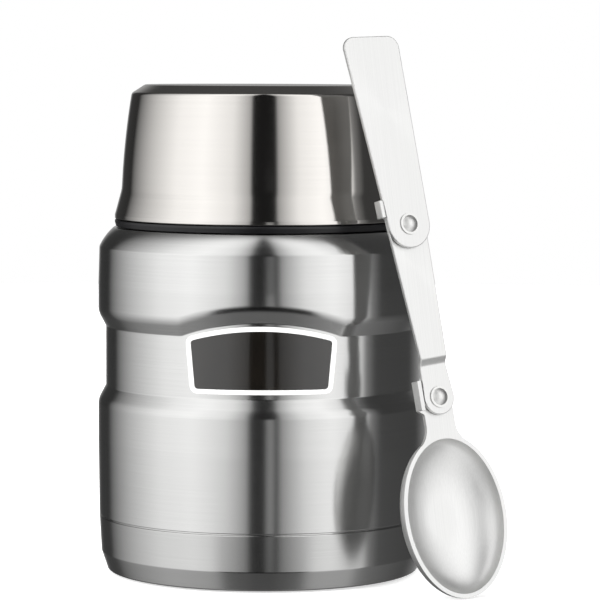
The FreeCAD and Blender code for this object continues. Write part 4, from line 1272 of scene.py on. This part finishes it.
    def handle(self) -> bpy.types.Object:
        """Cut the bare handle, whose end is a little askew.

        Returns:
            The handle.
        """
        side = self.handle_length - self.handle_corner
        left = (-self.handle_foot, 0.0)
        heel = (0.0, -self.handle_foot)
        right = (self.handle_foot, 0.0)
        corners = [
            Corner(*left), *bow(left, heel, self.handle_foot, 1, 12),
            Corner(*heel), *bow(heel, right, self.handle_foot, 1, 12),
            Corner(*right), Corner(self.handle_half, side - self.handle_skew),
            Corner(self.handle_half, self.handle_length - self.handle_skew, self.handle_corner),
            Corner(-self.handle_half, self.handle_length, self.handle_corner),
            Corner(-self.handle_half, side),
        ]
        back = self.gap + self.joggle + self.sheet + self.gap
        piece = Bench.slab("spoon_handle_blade", rounded(corners), back, self.sheet)
        Bench.soften(piece, self.handle_edge, steps=3, limit=38)
        Bench.smooth(piece)
        Bench.settle(piece, self.plane(self.handle_tilt, self.link_length, self.link_tilt))
        return piece

    def make(self) -> None:
        """Make and dress the spoon's three pressed pieces and dress its rivets."""
        steel = SATIN_SPOON.build()
        for piece, body, node in ((self.bowl(), "spoon_scoop", "spoon_bowl"),
                                  (self.link(), "spoon_middle", "spoon_link"),
                                  (self.handle(), "spoon_grip", "spoon_handle")):
            dress(piece, steel)
            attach(piece, body)
            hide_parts(node)
        bright = BRIGHT_RIVET.build()
        for kind in ("rivet", "spacer", "washer"):
            for place in ("lower", "upper"):
                dress(frame["nodes"][f"spoon_{kind}_{place}"], bright)
        LOG.info("spoon: bowl, link, handle and rivets")


class Inside:
    """The pieces that show once the lid or the stopper is off, which keep their CAD solids."""

    def make(self) -> None:
        """Dress each of them in its finish."""
        black = BLACK_STOPPER.build()
        sheet = PLAIN_SHEET.build()
        finishes = {
            "inner_liner": SPUN_LINER.build(),
            "radiation_foil": COPPER_FOIL.build(),
            "vacuum_seal": SEAL_BRAZE.build(),
            "base_disc": sheet,
            "getter_clip": sheet,
            "getter_tablet": GETTER_POWDER.build(),
            "foot_pad": FOOT_RUBBER.build(),
            "stopper_body": black,
            "stopper_cover": black,
            "stopper_foam": FOAM_FILL.build(),
            "stopper_gasket": GASKET_SILICONE.build(),
            "lid_bowl": BLACK_BOWL.build(),
        }
        for node, material in finishes.items():
            dress(frame["nodes"][node], material)
        LOG.info("inside: %d CAD nodes dressed", len(finishes))


# Studio


@dataclass
class Studio:
    """The white floor, the room of soft boxes that the steel mirrors, the lamps and the camera."""

    floor_radius: float = 1.2
    floor_sink: float = 0.0002
    floor_glow: float = 0.55
    lens: float = 194.6
    sensor: float = 36.0
    clip: float = 0.01
    camera_place: Triple = (0.010756, -0.9477, 0.1502)
    aim: Triple = (0, 0, 0.07)
    pitch: float = 4.291
    roll: float = 0.208
    # Brightness of the room by the degrees from the camera, to the right: a narrow black gap
    # at the camera, a long soft box to the left, a shorter one to the right, a dim rear wall
    room: tuple[tuple[float, float], ...] = (
        (-180, 0.4), (-170, 0.35), (-160, 0.05), (-136, 0.03), (-130, 0.2), (-105, 0.7),
        (-75, 1.25), (-50, 1.4), (-25, 1.1), (-10, 0.5), (-9, 0.01), (11, 0.01), (12, 0.4),
        (30, 1.15), (50, 1.4), (77, 1.0), (80, 0.25), (90, 0.05), (135, 0.06), (165, 0.35),
        (180, 0.4),
    )
    # The same for the table round the object, which faces that look down mirror
    table: tuple[tuple[float, float], ...] = (
        (-180, 0.1), (-140, 0.1), (-80, 0.3), (-45, 0.3), (-20, 0.16), (20, 0.16), (45, 0.3),
        (80, 0.3), (140, 0.1), (180, 0.1),
    )
    # Heights of a direction, from -1 to 1, at which the room starts to give way to the table, and
    # where it has. The same for the dark roof, over a plane that slopes up towards the camera
    table_edge: tuple[float, float] = (-0.03, -0.8)
    roof_edge: tuple[float, float] = (0.86, 1.14)
    roof_slope: float = 0.6
    roof_light: float = 0.07
    # Two panels: where each starts, stops and fades in degrees, the same in heights, and its light.
    # The dark ledge makes the black crescents over the arch, and the glint a line in the black gap
    ledge: tuple[Triple, Triple, float] = ((-28, 30, 9), (-0.66, -0.34, 0.08), 0.0)
    glint: tuple[Triple, Triple, float] = ((3.6, 7.6, 1.6), (-0.24, -0.04, 0.03), 0.42)
    # Name, place, side and power of the lamps for everything, and of those for the spoon alone
    lamps: tuple[tuple[str, Triple, float, float], ...] = (
        ("lamp_left", (-1.1, -1.0, 0.9), 0.9, 16.0),
        ("lamp_right", (1.2, -0.8, 0.8), 0.9, 10.0),
        ("lamp_above", (0.0, 0.2, 1.5), 1.2, 16.0),
    )
    spoon_lamps: tuple[tuple[str, Triple, float, float], ...] = (
        ("lamp_spoon_right", (0.95, -0.45, 0.5), 1.0, 1.3),
        ("lamp_spoon_front", (-0.05, -1.25, 0.38), 0.62, 1.2),
        ("lamp_spoon_below", (0.15, -0.55, -0.5), 0.9, 2.3),
    )

    def floor(self) -> None:
        """Lay the floor, white to the camera, with the object's soft shadow on it."""
        Bench.clear()
        bpy.ops.mesh.primitive_circle_add(vertices=128, radius=self.floor_radius, fill_type="NGON",
                                          location=(0, 0, -self.floor_sink))
        floor = Bench.name("studio_floor")
        bpy.ops.object.transform_apply(location=True, rotation=True, scale=True)
        floor.visible_glossy = False
        tree, shader = Finish("matt_white_floor", "F0F0F0", 0.9).start()
        path = add_node(tree, "ShaderNodeLightPath")
        glow = add_node(tree, "ShaderNodeMath", {0: path.outputs["Is Camera Ray"]},
                        {1: self.floor_glow}, operation="MULTIPLY")
        shader.inputs["Emission Color"].default_value = linear("FFFFFF")
        tree.links.new(glow.outputs[0], shader.inputs["Emission Strength"])
        dress(floor, bpy.data.materials["matt_white_floor"])

    def surroundings(self) -> None:
        """Build the room round the object, plain white where the camera sees it."""
        world = bpy.data.worlds.new("studio_room")
        bpy.context.scene.world = world
        world.use_nodes = True
        tree = world.node_tree
        tree.nodes.clear()
        place = add_node(tree, "ShaderNodeTexCoord")
        split = add_node(tree, "ShaderNodeSeparateXYZ", {0: place.outputs["Generated"]})
        ahead = add_node(tree, "ShaderNodeMath", {0: split.outputs["Y"]}, {1: -1.0},
                         operation="MULTIPLY")
        turn = add_node(tree, "ShaderNodeMath", {0: split.outputs["X"], 1: ahead.outputs[0]},
                        operation="ARCTAN2")
        share = add_node(tree, "ShaderNodeMapRange", {"Value": turn.outputs[0]},
                         {"From Min": -math.pi, "From Max": math.pi})
        walls = self.strip(tree, share.outputs["Result"], self.room)
        table = self.strip(tree, share.outputs["Result"], self.table)
        low = add_node(tree, "ShaderNodeMapRange", {"Value": split.outputs["Z"]},
                       {"From Min": self.table_edge[0], "From Max": self.table_edge[1]})
        sides = add_node(tree, "ShaderNodeMix", {0: low.outputs["Result"], 6: walls, 7: table},
                         data_type="RGBA")
        leant = add_node(tree, "ShaderNodeMath", {0: split.outputs["Y"], 2: split.outputs["Z"]},
                         {1: self.roof_slope}, operation="MULTIPLY_ADD")
        high = add_node(tree, "ShaderNodeMapRange", {"Value": leant.outputs[0]},
                        {"From Min": self.roof_edge[0], "From Max": self.roof_edge[1]})
        roof = add_node(tree, "ShaderNodeMix", {0: high.outputs["Result"], 6: sides.outputs[2]},
                        {7: self.grey(self.roof_light)}, data_type="RGBA")
        light = roof.outputs[2]
        for panel in (self.ledge, self.glint):
            light = self.pane(tree, turn.outputs[0], split.outputs["Z"], light, *panel)
        path = add_node(tree, "ShaderNodeLightPath")
        seen = add_node(tree, "ShaderNodeMix", {0: path.outputs["Is Camera Ray"], 6: light},
                        {7: self.grey(1.0)}, data_type="RGBA")
        glow = add_node(tree, "ShaderNodeBackground", {"Color": seen.outputs[2]}, {"Strength": 1.0})
        add_node(tree, "ShaderNodeOutputWorld", {"Surface": glow.outputs["Background"]})

    @staticmethod
    def grey(strength: float) -> Colour:
        """Give a grey light of a strength."""
        return strength, strength, strength, 1.0

    def strip(self, tree: bpy.types.NodeTree, share: bpy.types.NodeSocket,
              lights: Sequence[tuple[float, float]]) -> bpy.types.NodeSocket:
        """Paint a strip of brightness all round the object.

        Args:
            tree: The world's node tree.
            share: The part of a full turn, from 0 behind the object through 0.5 at the camera.
            lights: Degrees from the camera and the brightness there, in order.

        Returns:
            The brightness as a colour.
        """
        ramp = add_node(tree, "ShaderNodeValToRGB", {"Fac": share})
        stops = ramp.color_ramp.elements
        while len(stops) > 1:
            stops.remove(stops[-1])
        for i, (degrees, strength) in enumerate(lights):
            place = (degrees + 180) / 360
            stop = stops[0] if i == 0 else stops.new(place)
            stop.position = place
            stop.color = self.grey(strength)
        return ramp.outputs["Color"]

    def window(self, tree: bpy.types.NodeTree, source: bpy.types.NodeSocket, start: float,
               stop: float, edge: float) -> bpy.types.NodeSocket:
        """Give one between two values and nothing outside them, with soft edges.

        Args:
            tree: The world's node tree.
            source: The value that is tested.
            start: Where the window starts.
            stop: Where it stops.
            edge: How far each of its edges fades outwards.

        Returns:
            The share of the window at the source's value.
        """
        rise = add_node(tree, "ShaderNodeMapRange", {"Value": source},
                        {"From Min": start - edge, "From Max": start})
        fall = add_node(tree, "ShaderNodeMapRange", {"Value": source},
                        {"From Min": stop + edge, "From Max": stop})
        sides = {0: rise.outputs["Result"], 1: fall.outputs["Result"]}
        both = add_node(tree, "ShaderNodeMath", sides, operation="MULTIPLY")
        return both.outputs[0]

    def pane(self, tree: bpy.types.NodeTree, turn: bpy.types.NodeSocket,
             height: bpy.types.NodeSocket, room: bpy.types.NodeSocket, degrees: Triple,
             heights: Triple, strength: float) -> bpy.types.NodeSocket:
        """Hang one more panel in the room.

        Args:
            tree: The world's node tree.
            turn: The angle from the camera in radians.
            height: The height of the direction, from -1 to 1.
            room: The room so far.
            degrees: Where the panel starts and stops, in degrees, and how soft its edges are.
            heights: The same for its height.
            strength: Its brightness.

        Returns:
            The room with the panel.
        """
        start, stop, edge = (math.radians(angle) for angle in degrees)
        across = self.window(tree, turn, start, stop, edge)
        upright = self.window(tree, height, *heights)
        share = add_node(tree, "ShaderNodeMath", {0: across, 1: upright}, operation="MULTIPLY")
        mixed = add_node(tree, "ShaderNodeMix", {0: share.outputs[0], 6: room},
                         {7: self.grey(strength)}, data_type="RGBA")
        return mixed.outputs[2]

    def lamp(self, name: str, place: Triple, size: float, power: float,
             pieces: Sequence[bpy.types.Object] = ()) -> None:
        """Hang a soft lamp that faces the object.

        Args:
            name: The lamp's name.
            place: Where it hangs, in metres.
            size: Its side in metres.
            power: Its power in watts.
            pieces: The only pieces that it lights, that mirror it and that hide it from each
                other. Without them it lights everything and no steel mirrors it.
        """
        Bench.clear()
        bpy.ops.object.light_add(type="AREA", location=place)
        lamp = Bench.name(name)
        lamp.data.shape = "SQUARE"
        lamp.data.size = size
        lamp.data.energy = power
        way = Vector(self.aim) - Vector(place)
        lamp.rotation_euler = way.to_track_quat("-Z", "Y").to_euler()
        lamp.visible_camera = False
        lamp.visible_glossy = bool(pieces)
        if pieces:
            lit = bpy.data.collections.new(f"{name}_pieces")
            for piece in pieces:
                lit.objects.link(piece)
            lamp.light_linking.receiver_collection = lit
            lamp.light_linking.blocker_collection = lit

    def camera(self) -> None:
        """Set the camera where the photograph was taken from."""
        Bench.clear()
        bpy.ops.object.camera_add(location=self.camera_place)
        camera = Bench.name("photo_camera")
        level = Matrix.Rotation(math.radians(90 - self.pitch), 4, "X")
        turned = level @ Matrix.Rotation(math.radians(self.roll), 4, "Z")
        camera.rotation_euler = turned.to_euler()
        camera.data.sensor_width = self.sensor
        camera.data.lens = self.lens
        camera.data.clip_start = self.clip
        bpy.context.scene.camera = camera

    def make(self) -> None:
        """Set the floor, the room, the lamps and the camera."""
        self.floor()
        self.surroundings()
        for lamp in self.lamps:
            self.lamp(*lamp)
        spoon = [piece for piece in bpy.data.objects if piece.name.startswith("spoon_")]
        for lamp in self.spoon_lamps:
            self.lamp(*lamp, spoon)
        self.camera()
        bpy.context.scene.view_settings.view_transform = "Standard"
        LOG.info("studio: floor, room, lamps and camera")


def main() -> None:
    """Build the dressed jar in its studio."""
    logging.basicConfig(level=logging.INFO)
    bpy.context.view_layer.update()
    for part in (Jar(), Plate(), Lid(), Spoon(), Inside(), Studio()):
        part.make()


if __name__ == "__main__":
    main()
